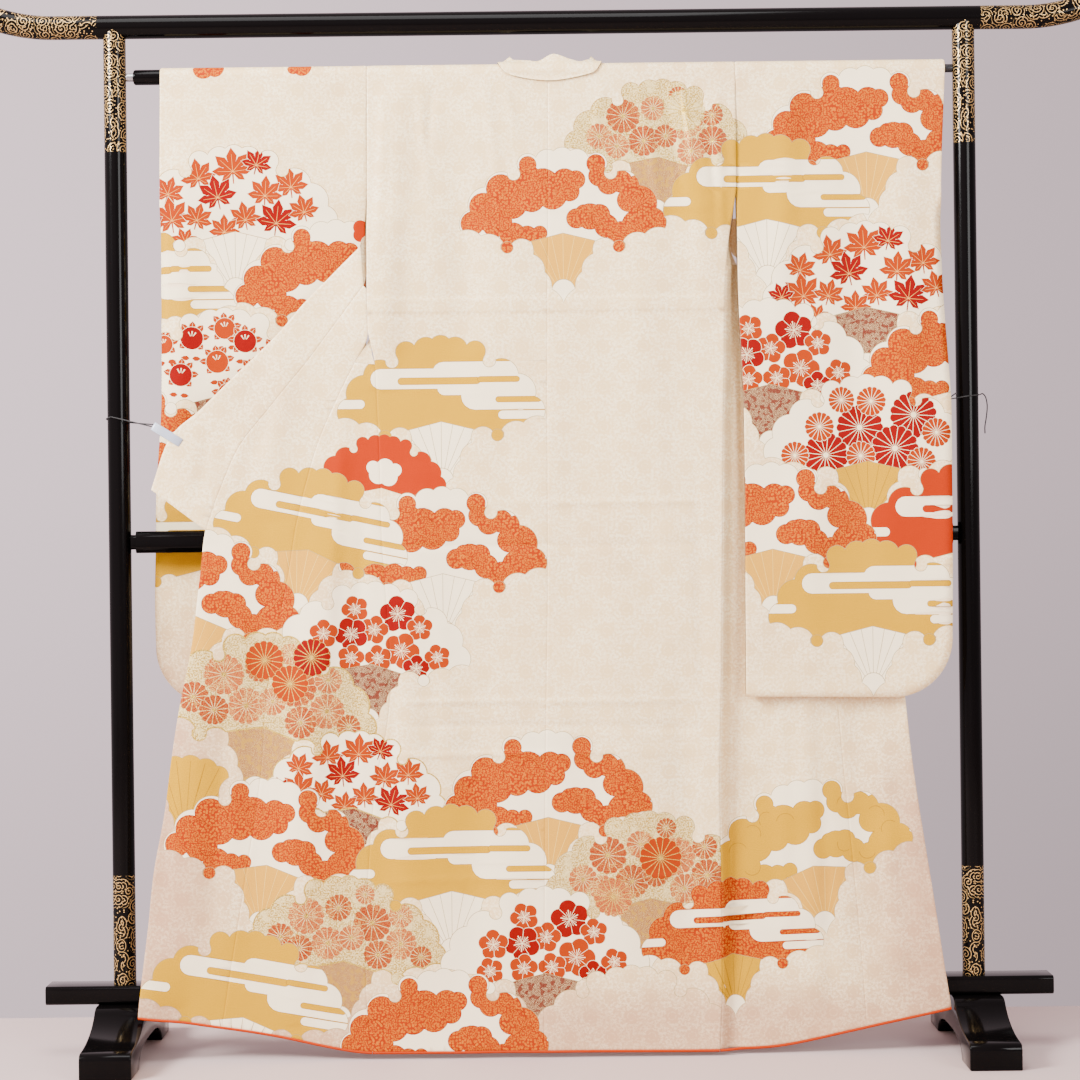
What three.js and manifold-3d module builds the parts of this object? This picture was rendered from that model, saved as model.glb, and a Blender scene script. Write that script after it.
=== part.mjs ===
// A furisode kimono hung open on its lacquered kimono stand (iko). Millimetres, +Z up.
// The garment's back faces -Y. The origin is on the floor, midway between the two posts.
// The left front is drawn out in front of the left sleeve, the right front behind the right
// sleeve, and a clip with a string holds each of them to its post.
import * as THREE from 'three';
import { mergeVertices } from 'three/addons/utils/BufferGeometryUtils.js';
import Module from 'manifold-3d';

const wasm = await Module();
wasm.setup();

// ---------------------------------------------------------------- driving dimensions
const STAND = {
  postX: 720, postDia: 38,
  topRailZ: 1744, topRailDia: 40, topRailHalf: 938, upturnFrom: 822, upturnRise: 22,
  rodZ: 1658.5, rodDia: 26, rodHalf: 688, rodChamfer: 4, pinDia: 14,
  midRailZ: 870, midRailSize: 37, midRailChamfer: 9,
  lowRailTop: 122, lowRailTall: 31, lowRailDeep: 60, lowRailHalf: 850, lowRailChamfer: 4,
  footLength: 410, footWidth: 85, footTall: 90.7, toeTall: 31, toeCrown: 44,
  toeLength: 82, archTall: 34, footSeatHalf: 38, capLength: 15,
};
const GAP = 0.3;              // clearance between neighbouring pieces
const CLOTH = {
  wall: 2,                    // silk, lining and the air between them
  overRod: 14.5,              // middle of the wall where it bends over the hanging rod
  neckOverRod: 17.8,          // middle of the collar's wall, lying on the body's
  sleeveCorner: 100,          // rounded lower outer corner of a sleeve
  hemRoll: 2.2,               // radius of the padded lining edge along the hem
  cuffBottom: 1442,           // the cuffs are open from here up to the shoulder fold
  cuffPinch: 2.7,             // layers of a sleeve where its outer seam closes it
};
const CLIP = { length: 56, width: 15, slot: 5, jaw: 2, slotDepth: 34, tilt: 32 };
const STRING = { radius: 1, sides: 6, post: 20.6, spread: 8 };

const COLOURS = {
  silk: 0xeee5d5, lining: 0xe8501c, lacquer: 0x17110f, gilt: 0xb98a3a,
  steel: 0xb9c0c8, dark: 0x2b2a2c, clip: 0xc9d3dc, elastic: 0x151515,
};

// ---------------------------------------------------------------- small helpers
const lerp = (a, b, t) => a + (b - a) * t;
const clamp01 = (t) => Math.min(1, Math.max(0, t));
const smooth = (from, to, value) => {
  const t = clamp01((value - from) / (to - from));
  return t * t * (3 - 2 * t);
};
const bell = (t) => Math.exp(-t * t);

// A smooth curve through table rows: column `key` read at `at` in the rows' first column.
function reader(columns, rows) {
  const order = rows[0][0] < rows[rows.length - 1][0] ? rows : [...rows].reverse();
  return (key, at) => {
    const column = columns.indexOf(key);
    let i = order.findIndex((row) => row[0] >= at);
    if (i <= 0) return i === 0 ? order[0][column] : order[order.length - 1][column];
    const [a, b] = [order[i - 1], order[i]];
    const before = order[Math.max(0, i - 2)];
    const after = order[Math.min(order.length - 1, i + 1)];
    const slope = (p, q) => (q[column] - p[column]) / Math.max(1e-9, q[0] - p[0]);
    const span = b[0] - a[0];
    const t = (at - a[0]) / span;
    const here = slope(a, b);
    const limited = (m) => (m * here <= 0 ? 0 : Math.sign(here) * Math.min(Math.abs(m), 3 * Math.abs(here)));
    const m0 = limited(before === a ? here : slope(before, b)) * span;
    const m1 = limited(after === b ? here : slope(a, after)) * span;
    const [t2, t3] = [t * t, t * t * t];
    return (2 * t3 - 3 * t2 + 1) * a[column] + (t3 - 2 * t2 + t) * m0
      + (3 * t2 - 2 * t3) * b[column] + (t3 - t2) * m1;
  };
}

// A closed body from rows of points: the outer skin, the inner skin and their rims.
// `ring` closes each row on itself, as around a sleeve.
function skinPair(outer, inner, ring = false) {
  const rows = outer.length;
  const cols = outer[0].length;
  const points = [...outer.flat(), ...inner.flat()];
  const at = (side, i, j) => (side * rows + i) * cols + (j % cols);
  const faces = [];
  const quad = (a, b, c, d) => faces.push(a, b, c, a, c, d);
  const spans = ring ? cols : cols - 1;
  for (let i = 0; i < rows - 1; i += 1) {
    for (let j = 0; j < spans; j += 1) {
      quad(at(0, i, j), at(0, i + 1, j), at(0, i + 1, j + 1), at(0, i, j + 1));
      quad(at(1, i, j), at(1, i, j + 1), at(1, i + 1, j + 1), at(1, i + 1, j));
    }
    if (!ring) {
      quad(at(0, i + 1, 0), at(0, i, 0), at(1, i, 0), at(1, i + 1, 0));
      quad(at(0, i, cols - 1), at(0, i + 1, cols - 1), at(1, i + 1, cols - 1), at(1, i, cols - 1));
    }
  }
  for (let j = 0; j < spans; j += 1) {
    quad(at(0, 0, j), at(0, 0, j + 1), at(1, 0, j + 1), at(1, 0, j));
    quad(at(0, rows - 1, j + 1), at(0, rows - 1, j), at(1, rows - 1, j), at(1, rows - 1, j + 1));
  }
  const geometry = new THREE.BufferGeometry();
  const flat = points.flatMap((p) => [p.x, p.y, p.z]);
  geometry.setAttribute('position', new THREE.Float32BufferAttribute(flat, 3));
  geometry.setIndex(faces);
  return outward(geometry);
}

// Turns a closed mesh the right way out.
function outward(geometry) {
  const p = geometry.attributes.position;
  const index = geometry.index.array;
  const corner = (k) => new THREE.Vector3().fromBufferAttribute(p, index[k]);
  let volume = 0;
  for (let k = 0; k < index.length; k += 3) {
    volume += corner(k).dot(corner(k + 1).cross(corner(k + 2)));
  }
  if (volume < 0) {
    for (let k = 0; k < index.length; k += 3) {
      [index[k], index[k + 1]] = [index[k + 1], index[k]];
    }
  }
  return geometry;
}

// A cloth wall round a grid of middle points. `wayOut(i)` gives the direction in which the
// wall of row i is measured, so that neighbours meet cleanly at a seam. Where it gives
// nothing, the wall follows the cloth's own normal, turned by `turn`.
const FORWARD = new THREE.Vector3(0, -1, 0);
function clothWall(grid, wayOut = () => null, turn = 1) {
  const half = CLOTH.wall / 2;
  const rows = grid.length;
  const cols = grid[0].length;
  const normalAt = (i, j) => {
    if (wayOut(i)) return wayOut(i);
    const across = new THREE.Vector3().subVectors(
      grid[i][Math.min(cols - 1, j + 1)], grid[i][Math.max(0, j - 1)]);
    const down = new THREE.Vector3().subVectors(
      grid[Math.min(rows - 1, i + 1)][j], grid[Math.max(0, i - 1)][j]);
    return across.cross(down).normalize().multiplyScalar(turn);
  };
  const skin = (side) => grid.map((row, i) => row.map(
    (point, j) => point.clone().addScaledVector(normalAt(i, j), side * half)));
  return skinPair(skin(1), skin(-1));
}

function sweptTube(points, radius, sides, steps, tension = 0.5) {
  const shape = new THREE.Shape();
  for (let k = 0; k < sides; k += 1) {
    const angle = (k / sides) * 2 * Math.PI;
    const put = k === 0 ? 'moveTo' : 'lineTo';
    shape[put](radius * Math.cos(angle), radius * Math.sin(angle));
  }
  const path = new THREE.CatmullRomCurve3(points, false, 'catmullrom', tension);
  return new THREE.ExtrudeGeometry(shape, { steps, bevelEnabled: false, extrudePath: path });
}

function toManifold(geometry) {
  const bare = geometry.clone();
  bare.deleteAttribute('normal');
  bare.deleteAttribute('uv');
  const merged = mergeVertices(bare, 1e-4);
  return new wasm.Manifold(new wasm.Mesh({
    numProp: 3,
    vertProperties: Float32Array.from(merged.attributes.position.array),
    triVerts: Uint32Array.from(merged.index.array),
  }));
}

function fromManifold(solid) {
  const mesh = solid.getMesh();
  const geometry = new THREE.BufferGeometry();
  geometry.setAttribute('position', new THREE.BufferAttribute(mesh.vertProperties, 3));
  geometry.setIndex(new THREE.BufferAttribute(mesh.triVerts, 1));
  return geometry;
}

const group = new THREE.Group();

function addPiece(name, geometry, colour, roughness = 0.8, metalness = 0) {
  const material = new THREE.MeshStandardMaterial({ color: colour, roughness, metalness });
  const mesh = new THREE.Mesh(geometry, material);
  mesh.name = name;
  group.add(mesh);
  return mesh;
}

// ---------------------------------------------------------------- the garment's outline
// Left edge, centre seam and right edge of the back, from the rod down.
const backEdge = reader(['z', 'left', 'centre', 'right'], [
  [1660, -291, 15, 331], [1460, -292, 13, 330], [1384, -293, 12, 317.5], [1302, -293, 10, 309],
  [1222, -292, 9, 306], [1171, -282, 8, 305], [1060, -277, 7, 301.5], [986, -274.5, 6.5, 300],
  [869, -272, 5.5, 297.6], [754, -265, 4, 295], [638, -259, 1, 292.6], [550, -268, -1, 290],
  [466, -285, -3, 287.5], [350, -298, -5, 288], [235, -304, -7, 288.5], [120, -307, -9, 288.5],
  [8, -297, -10.5, 283],
]);
// Height of the hem above the floor along the garment's width.
const hemLine = reader(['x', 'z'], [
  [-688, 75], [-575, 58.5], [-460, 40], [-346, 15.5], [-296, 9.5], [0, 8.5], [283, 7],
  [387, 11], [503, 33.6], [619, 58], [676, 70],
]);
const hemAt = (x) => hemLine('z', x) + 2 * CLOTH.hemRoll + GAP;

// Depth of the side that is seen first: the back, the left front and its collar.
const faceDepth = reader(['z', 'y'], [
  [1658.5, -14.5], [1560, -20], [1456, -26], [1376, -31], [1225, -38], [1046, -47],
  [870, -56], [600, -60], [300, -62], [8, -62],
]);
// Depth of the right front, behind the right sleeve and in front of both lower rails.
const rearDepth = reader(['z', 'y'], [
  [1450, 22], [1376, 16], [1302, 8], [1225, -1], [1134, -10], [1046, -17], [960, -22.5],
  [870, -27], [700, -31], [596, -33], [300, -40], [122, -44], [8, -46],
]);

// Largest folds. Each runs from `top` to `bottom`, leans by `lean` across its length, and
// stands out by `out` (or falls back, when negative) over about `wide` to each side.
const foldColumns = ['x', 'top', 'bottom', 'lean', 'wide', 'out'];
const foldRows = (rows) => rows.map(
  (row) => Object.fromEntries(foldColumns.map((key, k) => [key, row[k]])));
const FACE_FOLDS = foldRows([
  [-238, 1650, 1120, -30, 26, 7], [-150, 1640, 1180, 25, 30, -5], [250, 1650, 1230, 35, 28, 6],
  [170, 1560, 900, -10, 40, 4], [-210, 1000, 60, -40, 34, 6], [-110, 720, 20, -20, 42, -5],
  [120, 800, 20, 10, 45, 5], [225, 700, 20, 18, 30, -5], [-360, 1020, 60, -60, 30, 8],
  [-470, 1010, 120, -30, 34, -6], [-560, 860, 90, -60, 26, 6], [-430, 1230, 900, -40, 30, 5],
]);
const REAR_FOLDS = foldRows([
  [338, 1440, 700, 12, 12, -5], [420, 1200, 60, 25, 30, 6], [500, 1150, 40, 40, 32, -5],
  [590, 900, 90, 55, 28, 5],
]);
function folds(list, x, z) {
  let sum = 0;
  for (const fold of list) {
    const along = clamp01((fold.top - z) / (fold.top - fold.bottom));
    const inside = z < fold.top && z > fold.bottom ? Math.sin(Math.PI * along) ** 0.6 : 0;
    sum -= fold.out * inside * bell((x - fold.x - fold.lean * along) / fold.wide);
  }
  return sum;
}
// The cloth of the left front, passing through below the armhole, pushes the back's edge out.
const passing = (x, z) => -9 * bell((x + 292) / 45) * smooth(1150, 1240, z) * smooth(1450, 1380, z);
// The outer edge of the left front swings forward over the foot.
const overFoot = (x, z) => -16 * smooth(-600, -680, x) * smooth(260, 90, z);
const faceY = (x, z) => faceDepth('y', z) + folds(FACE_FOLDS, x, z) + passing(x, z) + overFoot(x, z);
const rearY = (x, z) => rearDepth('y', z) + folds(REAR_FOLDS, x, z);

// ---------------------------------------------------------------- body: backs and fronts
const OVER_ROD = [90, 60, 30];              // steps of the bend over the rod, in degrees
const rodPoint = (x, degrees, side, radius = CLOTH.overRod) => {
  const angle = THREE.MathUtils.degToRad(degrees);
  return new THREE.Vector3(
    x, side * radius * Math.cos(angle), STAND.rodZ + radius * Math.sin(angle));
};
const radial = (degrees, side) => rodPoint(0, degrees, side, 1).setZ(
  Math.sin(THREE.MathUtils.degToRad(degrees)));
// Heights of the side seams' points, which the backs and the fronts share.
const SEAM_LEVELS = [
  1330, 1290, 1248, 1207, 1168, 1104, 1036, 960, 889, 812, 700, 597, 504, 411, 318, 222, 152,
];
const BACK_LEVELS = [1658.5, 1651, 1635, 1590, 1530, 1456, 1384, ...SEAM_LEVELS];
// The neck cut: where the back's inner edge leaves the centre seam, by height or bend angle.
const neckCut = reader(['z', 'share'], [[1640, 0], [1651, 0.12], [1658.5, 0.72], [1666, 0.93], [1673, 1]]);
const NECK = { left: -62, right: 98 };

function backPanel(side) {
  const edge = side < 0 ? 'left' : 'right';
  const outerAt = (z) => backEdge(edge, z);
  const innerAt = (z) => lerp(backEdge('centre', z) + side * GAP, NECK[edge], neckCut('share', z));
  const shares = [0, 0.1, 0.26, 0.44, 0.62, 0.8, 1];
  const bend = OVER_ROD.map((degrees) => {
    const z = STAND.rodZ + CLOTH.overRod * Math.sin(THREE.MathUtils.degToRad(degrees));
    return shares.map((s) => {
      const point = rodPoint(lerp(outerAt(z), innerAt(z), s), degrees, -1);
      if (degrees === OVER_ROD[0]) point.y -= GAP / 2;
      return point;
    });
  });
  const hang = [...BACK_LEVELS, 'hem'].map((level) => shares.map((s) => {
    const z = level === 'hem' ? hemAt(lerp(outerAt(8), innerAt(8), s)) : level;
    const x = lerp(outerAt(z), innerAt(z), s);
    return new THREE.Vector3(x, faceY(x, z), z);
  }));
  return clothWall(
    [...bend, ...hang], (i) => (i < bend.length ? radial(OVER_ROD[i], -1) : FORWARD));
}

// Seams of the left front, from the gap below the armhole down: the collar seam and then
// the free edge (s), the seam between the overlap panel and the front (f), and the collar's
// outer edge (t) down to its end.
const leftFront = ['sx', 'sz', 'fx', 'fz', 'tx', 'tz'];
const LEFT_FRONT = [
  [-299.5, 1297, -294, 1290, -304, 1362], [-332, 1255, -294, 1248, -352, 1316],
  [-364, 1213, -294.5, 1207, -400, 1268], [-400, 1166, -315, 1168, -447, 1214],
  [-460, 1093, -347, 1104, -513, 1151], [-510, 1030, -377, 1036, -574, 1092],
  [-543, 958, -400, 960, -626, 1044], [-567, 889, -417, 889, -658, 958],
  [-577, 812, -430, 812], [-591, 700, -453, 700], [-612, 600, -470, 597],
  [-628, 504, -477, 504], [-641, 411, -489, 411], [-659, 318, -505, 318],
  [-670, 222, -521, 222], [-678, 152, -533, 152], [-686, 0, -548, 0],
];
const RIGHT_FRONT = [
  [346, 1337, 332, 1330, 348, 1418], [380, 1296, 340, 1290, 394, 1366],
  [414, 1256, 348, 1248, 442, 1316], [448, 1216, 358, 1207, 488, 1266],
  [480, 1176, 370, 1168, 528, 1222], [521, 1113, 392, 1104, 582, 1162],
  [551, 1040, 415, 1036, 630, 1104], [569, 962, 437, 960, 662, 1030],
  [578, 889, 452, 889, 670, 960],
  [586, 812, 462, 812], [595, 700, 478, 700], [603, 597, 490, 597],
  [612, 504, 497, 504], [624, 411, 505, 411], [638, 318, 513, 318],
  [652, 222, 521, 222], [662, 152, 526, 152], [674, 0, 532, 0],
];
const named = (row) => Object.fromEntries(leftFront.map((key, k) => [key, row[k]]));

// The hidden stretch of a front, from the rod down behind the back: its side edge (a) and
// its inner edge (b). It is bunched where it turns over to come out at the side.
const turnColumns = ['ax', 'ay', 'az', 'bx', 'by', 'bz'];
const turnRows = (rows) => rows.map(
  (row) => Object.fromEntries(turnColumns.map((key, k) => [key, row[k]])));
const LEFT_TURN = turnRows([
  [-291, 14.5, 1658.5, -68, 14.5, 1658.5], [-291, 15, 1600, -116, 17, 1600],
  [-291, 16, 1530, -174, 20, 1530], [-291, 16, 1456, -232, 22, 1456],
  [-290, 13, 1410, -262, 14, 1405], [-285, 8, 1360, -283, -10, 1350],
  [-279, -8, 1300, -288, -25, 1296], [-277, -22, 1250, -285, -33, 1244],
  [-281, -35, 1212, -291, -39, 1206], [-287.4, -40.5, 1190, -303, -43, 1187],
]);
const RIGHT_TURN = turnRows([
  [331, 14.5, 1658.5, 104, 14.5, 1658.5], [331, 15, 1600, 152, 18, 1600],
  [331, 15, 1530, 212, 22, 1530], [330, 14, 1456, 270, 26, 1456],
  [326, 6, 1410, 300, 31, 1405], [317, -14, 1365, 320, 22, 1360],
]);

// Width over which the right front falls back from the side seam to behind the sleeve.
const SWING = 20;

function frontPanel(side) {
  const turn = side < 0 ? LEFT_TURN : RIGHT_TURN;
  const seams = (side < 0 ? LEFT_FRONT : RIGHT_FRONT).map(named);
  const edge = side < 0 ? 'left' : 'right';
  const shares = side < 0 ? [0, 0.17, 0.33, 0.5, 0.67, 0.83, 1] : [0, 0.08, 0.18, 0.34, 0.56, 0.78, 1];
  const bend = OVER_ROD.map((degrees) => {
    const z = STAND.rodZ + CLOTH.overRod * Math.sin(THREE.MathUtils.degToRad(degrees));
    return shares.map((s) => {
      const point = rodPoint(lerp(backEdge(edge, z), NECK[edge], s), degrees, 1);
      if (degrees === OVER_ROD[0]) point.y += GAP / 2;
      return point;
    });
  });
  const hidden = turn.map((row) => shares.map((s) => new THREE.Vector3(
    lerp(row.ax, row.bx, s), lerp(row.ay, row.by, s), lerp(row.az, row.bz, s))));
  const lowered = side < 0 ? seams.slice(3) : seams;
  const shown = lowered.map((row) => shares.map((s) => {
    const edgeZ = row.fz > 0 ? row.fz : hemAt(backEdge(edge, 8));
    const edgeX = backEdge(edge, edgeZ) + side * GAP;
    const x = lerp(edgeX, row.fx - side * GAP / 2, s);
    const z = row.fz > 0 ? row.fz : hemAt(x);
    const swing = smooth(0, SWING, x - edgeX);
    const y = side < 0 ? faceY(x, z) : lerp(faceY(edgeX, z) + 1, rearY(x, z), swing);
    return new THREE.Vector3(x, y, z);
  }));
  const turned = bend.length + hidden.length;
  const straight = FORWARD.clone();
  return clothWall([...bend, ...hidden, ...shown], (i) => {
    if (i < bend.length) return radial(OVER_ROD[i], 1);
    return i < turned ? null : straight;
  }, -side);
}

const sideDepth = (side) => (side < 0 ? faceY : rearY);

// The overlap panel (okumi), pointed at its top and straight down its free edge.
function overlapPanel(side) {
  const depth = sideDepth(side);
  const seams = (side < 0 ? LEFT_FRONT : RIGHT_FRONT).map(named);
  const shares = [0, 0.25, 0.5, 0.75, 1];
  const grid = seams.map((row) => shares.map((s) => {
    const x = lerp(row.sx - side * GAP / 2, row.fx + side * GAP / 2, s);
    const z = row.sz > 0 ? lerp(row.sz - GAP / 2, row.fz, s) : hemAt(x);
    return new THREE.Vector3(x, depth(x, z), z);
  }));
  return clothWall(grid, () => FORWARD);
}

// ---------------------------------------------------------------- collar
// One strip, in three stretches. The stretch of a front starts behind the neck, follows the
// front's inner edge and turns over with it. Columns: seam edge (s) and outer edge (t).
const strapColumns = ['sx', 'sy', 'sz', 'tx', 'ty', 'tz'];
const strapRows = (rows) => rows.map(
  (row) => Object.fromEntries(strapColumns.map((key, k) => [key, row[k]])));
const LEFT_STRAP = strapRows([
  [-64, 18.5, 1645, -22, 21, 1617], [-114, 20.5, 1597, -74, 26, 1564],
  [-172, 23, 1526, -132, 30, 1494], [-229, 25, 1452, -203, 27, 1424],
  [-258, 14, 1402, -243, 4, 1386], [-272, -2, 1374, -275, -20, 1386],
  [-288, -22, 1342, -298, -32, 1380],
]);
const RIGHT_STRAP = strapRows([
  [101, 18.5, 1645, 60, 21, 1617], [149, 21.5, 1597, 110, 28, 1564],
  [209, 25.5, 1526, 174, 34, 1496], [268, 30, 1452, 250, 48, 1434],
  [302, 34, 1400, 298, 54, 1424], [327, 25, 1350, 328, 40, 1412],
]);

function collarStrap(side) {
  const depth = sideDepth(side);
  const seams = (side < 0 ? LEFT_FRONT : RIGHT_FRONT).map(named).filter((row) => row.tx);
  const strap = side < 0 ? LEFT_STRAP : RIGHT_STRAP;
  const shares = [0, 0.33, 0.67, 1];
  const hidden = strap.map((row) => shares.map((s) => new THREE.Vector3(
    lerp(row.sx, row.tx, s), lerp(row.sy, row.ty, s), lerp(row.sz, row.tz, s))));
  const shown = seams.map((row) => shares.map((s) => {
    const x = lerp(row.sx + side * GAP / 2, row.tx, s);
    const z = lerp(row.sz + GAP / 2, row.tz, s);
    return new THREE.Vector3(x, depth(x, z), z);
  }));
  return clothWall([...hidden, ...shown], (i) => (i < strap.length ? null : FORWARD), -side);
}

// The stretch round the neck: from behind the left shoulder, over the rod, across the back
// of the neck and over the rod again. It lies on the rod wherever it would cut into it.
const NECK_STRETCH = strapRows([
  [-63, 18.8, 1650, -50, 25, 1652], [-62, 15, 1670, -50, 12, 1686],
  [-60, 0, 1677, -44, 4, 1681], [-55, -13, 1671, -30, -2, 1679],
  [-46, -18, 1661, -16, -4, 1678], [-20, -18.4, 1653, 0, -5, 1677],
  [18, -18.6, 1649, 24, -5, 1689], [52, -18.4, 1653, 50, -4, 1681],
  [82, -18, 1661, 68, -2, 1676], [92, -13, 1671, 80, 1, 1679],
  [97, 0, 1677, 86, 6, 1681], [99, 15, 1670, 88, 13, 1686], [100, 18.8, 1650, 90, 25, 1652],
]);
function neckStretch() {
  const shares = [0, 0.33, 0.67, 1];
  const grid = NECK_STRETCH.map((row) => shares.map((s) => {
    const point = new THREE.Vector3(
      lerp(row.sx, row.tx, s), lerp(row.sy, row.ty, s), lerp(row.sz, row.tz, s));
    const reach = Math.hypot(point.y, point.z - STAND.rodZ);
    if (reach < CLOTH.neckOverRod) {
      const push = CLOTH.neckOverRod / reach;
      point.y *= push;
      point.z = STAND.rodZ + (point.z - STAND.rodZ) * push;
    }
    return point;
  }));
  return clothWall(grid);
}

// ---------------------------------------------------------------- sleeves
// Inner edge, outer edge and the depth of the two layers of each sleeve by height.
const sleeveColumns = ['z', 'inner', 'outer', 'front', 'back'];
const SLEEVES = {
  left: reader(sleeveColumns, [
    [1660, -292, -641, -14.5, 14.5], [1460, -293.5, -644, -14, 16], [1400, -306, -645, -9, 18],
    [1302, -309, -646, -4, 20], [1225, -309, -647, 0, 22], [1093, -306, -650, 9, 26],
    [960, -304, -661, 19, 31], [870, -303, -664, 25.5, 37], [757, -303, -667, 29, 41],
    [596, -303, -664, 32, 44],
  ]),
  right: reader(sleeveColumns, [
    [1660, 332, 686, -14.5, 14.5], [1460, 331.5, 676, -22, 9], [1376, 331.5, 676, -26, 2],
    [1275, 332, 678, -30, -9], [1093, 338, 687, -40, -26.5], [960, 338, 686, -47, -35],
    [870, 337, 685, -52, -40], [757, 336, 683, -55, -43], [596, 335, 681, -57, -45],
  ]),
};
const SLEEVE_BOTTOM = { left: 590, right: 596 };
const SLEEVE_FOLDS = {
  left: foldRows([[-600, 1560, 980, -20, 26, 5], [-500, 1100, 620, -30, 40, 4]]),
  right: foldRows([
    [420, 1640, 1200, -20, 26, 6], [520, 1600, 700, 14, 34, -5], [610, 1640, 900, 10, 30, 5],
    [450, 1000, 620, -10, 34, 4],
  ]),
};

function sleeve(edge) {
  const read = SLEEVES[edge];
  const bottom = SLEEVE_BOTTOM[edge];
  const stations = [0, 0.1, 0.26, 0.42, 0.58, 0.74, 0.85, 0.93, 0.98, 1];
  const levels = [1, 0.96, 0.87, 0.74, 0.6, 0.46, 0.33, 0.2, 0.09, 0];
  const bends = [30, 60, 90, 120, 150];
  const half = CLOTH.wall / 2;
  const ringAt = (u, offset) => {
    const reach = Math.abs(read('outer', bottom) - read('inner', bottom));
    const inward = Math.max(0, CLOTH.sleeveCorner - (1 - u) * reach);
    const corner = CLOTH.sleeveCorner - Math.sqrt(CLOTH.sleeveCorner ** 2 - inward ** 2);
    const xAt = (z) => lerp(read('inner', z), read('outer', z), u);
    const layers = (z) => {
      const x = xAt(z);
      const middle = (read('front', z) + read('back', z)) / 2;
      const open = (read('back', z) - read('front', z)) / 2;
      const shut = smooth(0.88, 1, u) * smooth(CLOTH.cuffBottom, CLOTH.cuffBottom - 60, z);
      const spread = lerp(open, CLOTH.cuffPinch / 2, shut);
      const ease = smooth(bottom + corner, bottom + corner + 60, z) * folds(SLEEVE_FOLDS[edge], x, z);
      return { x, front: middle - spread + ease, back: middle + spread + ease * 0.6, spread };
    };
    const turn = layers(bottom + corner + 6);
    const foot = bottom + corner + turn.spread;
    const rise = (share) => lerp(foot, STAND.rodZ, share);
    const up = [...levels].reverse().map(rise);
    const down = levels.map(rise);
    const ring = [];
    up.forEach((z) => ring.push(new THREE.Vector3(layers(z).x, layers(z).front - offset, z)));
    bends.forEach((degrees) => ring.push(
      rodPoint(xAt(STAND.rodZ), degrees, -1, CLOTH.overRod + offset)));
    down.forEach((z) => ring.push(new THREE.Vector3(layers(z).x, layers(z).back + offset, z)));
    const middle = (turn.front + turn.back) / 2;
    [-45, -90, -135].forEach((degrees) => {
      const angle = THREE.MathUtils.degToRad(degrees);
      ring.push(new THREE.Vector3(
        xAt(foot), middle + (turn.spread + offset) * Math.cos(angle),
        foot + (turn.spread + offset) * Math.sin(angle)));
    });
    return ring;
  };
  const skin = (offset) => stations.map((u) => ringAt(u, offset));
  return skinPair(skin(half), skin(-half), true);
}

// ---------------------------------------------------------------- padded lining edge
function hemRoll(from, to, depth, steps) {
  const points = [];
  for (let k = 0; k <= steps; k += 1) {
    const x = lerp(from, to, k / steps);
    const z = hemLine('z', x) + CLOTH.hemRoll;
    points.push(new THREE.Vector3(x, depth(x, z + CLOTH.hemRoll), z));
  }
  return sweptTube(points, CLOTH.hemRoll, 6, steps * 2);
}

// ---------------------------------------------------------------- clips and strings
// A sprung clip: two jaws on the cloth's edge, joined at the tail that the string is tied to.
const CLIP_AT = { left: { x: -631, z: 1050 }, right: { x: 651, z: 1077 } };
function clipFrame(edge) {
  const side = edge === 'left' ? -1 : 1;
  const turn = THREE.MathUtils.degToRad(CLIP.tilt);
  const along = new THREE.Vector3(side * Math.cos(turn), 0, Math.sin(turn));
  const depth = new THREE.Vector3(0, 1, 0);
  const wide = new THREE.Vector3().crossVectors(along, depth);
  const at = new THREE.Vector3(CLIP_AT[edge].x, 0, CLIP_AT[edge].z);
  const bite = at.clone().addScaledVector(along, (CLIP.slotDepth - CLIP.length) / 2);
  at.y = sideDepth(side)(bite.x, bite.z);
  return { at, along, depth, wide, side };
}
function clip(edge) {
  const thick = CLIP.slot / 2 + CLIP.jaw;
  const tip = -CLIP.length / 2;
  const throat = tip + CLIP.slotDepth;
  const tail = CLIP.length / 2;
  const shape = new THREE.Shape();
  shape.moveTo(tip, -CLIP.slot / 2);
  shape.lineTo(tip + 3, -thick);
  shape.lineTo(tail - 3, -thick);
  shape.lineTo(tail, -thick + 3);
  shape.lineTo(tail, thick - 3);
  shape.lineTo(tail - 3, thick);
  shape.lineTo(tip + 3, thick);
  shape.lineTo(tip, CLIP.slot / 2);
  shape.lineTo(throat, CLIP.slot / 2);
  shape.lineTo(throat, -CLIP.slot / 2);
  const geometry = new THREE.ExtrudeGeometry(shape, { depth: CLIP.width, bevelEnabled: false });
  geometry.translate(0, 0, -CLIP.width / 2);
  const { at, along, depth, wide } = clipFrame(edge);
  return geometry.applyMatrix4(new THREE.Matrix4().makeBasis(along, depth, wide).setPosition(at));
}

// The elastic string leaves the clip's tail, goes once round the post and comes back.
const ringRise = 14;
function stringRound(edge) {
  const { at, along, wide, side } = clipFrame(edge);
  const tail = at.clone().addScaledVector(along, CLIP.length / 2 + GAP + STRING.radius);
  const start = tail.clone().addScaledVector(wide, -2 * STRING.radius * side);
  const postX = side * STAND.postX;
  const away = Math.atan2(start.y, start.x - postX);
  const reach = Math.hypot(start.y, start.x - postX);
  const touch = Math.acos(STRING.post / reach);
  const turns = 10;
  const points = [start.clone()];
  const ringZ = start.z + ringRise;
  for (let k = 0; k <= turns; k += 1) {
    const angle = away - touch - (k / turns) * (2 * Math.PI - 2 * touch);
    const z = ringZ - STRING.spread * (k / turns - 0.5);
    points.push(new THREE.Vector3(
      postX + STRING.post * Math.cos(angle), STRING.post * Math.sin(angle), z));
  }
  points.push(tail.clone().addScaledVector(wide, 2 * STRING.radius * side));
  return sweptTube(points, STRING.radius, STRING.sides, 36, 0.3);
}

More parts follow.
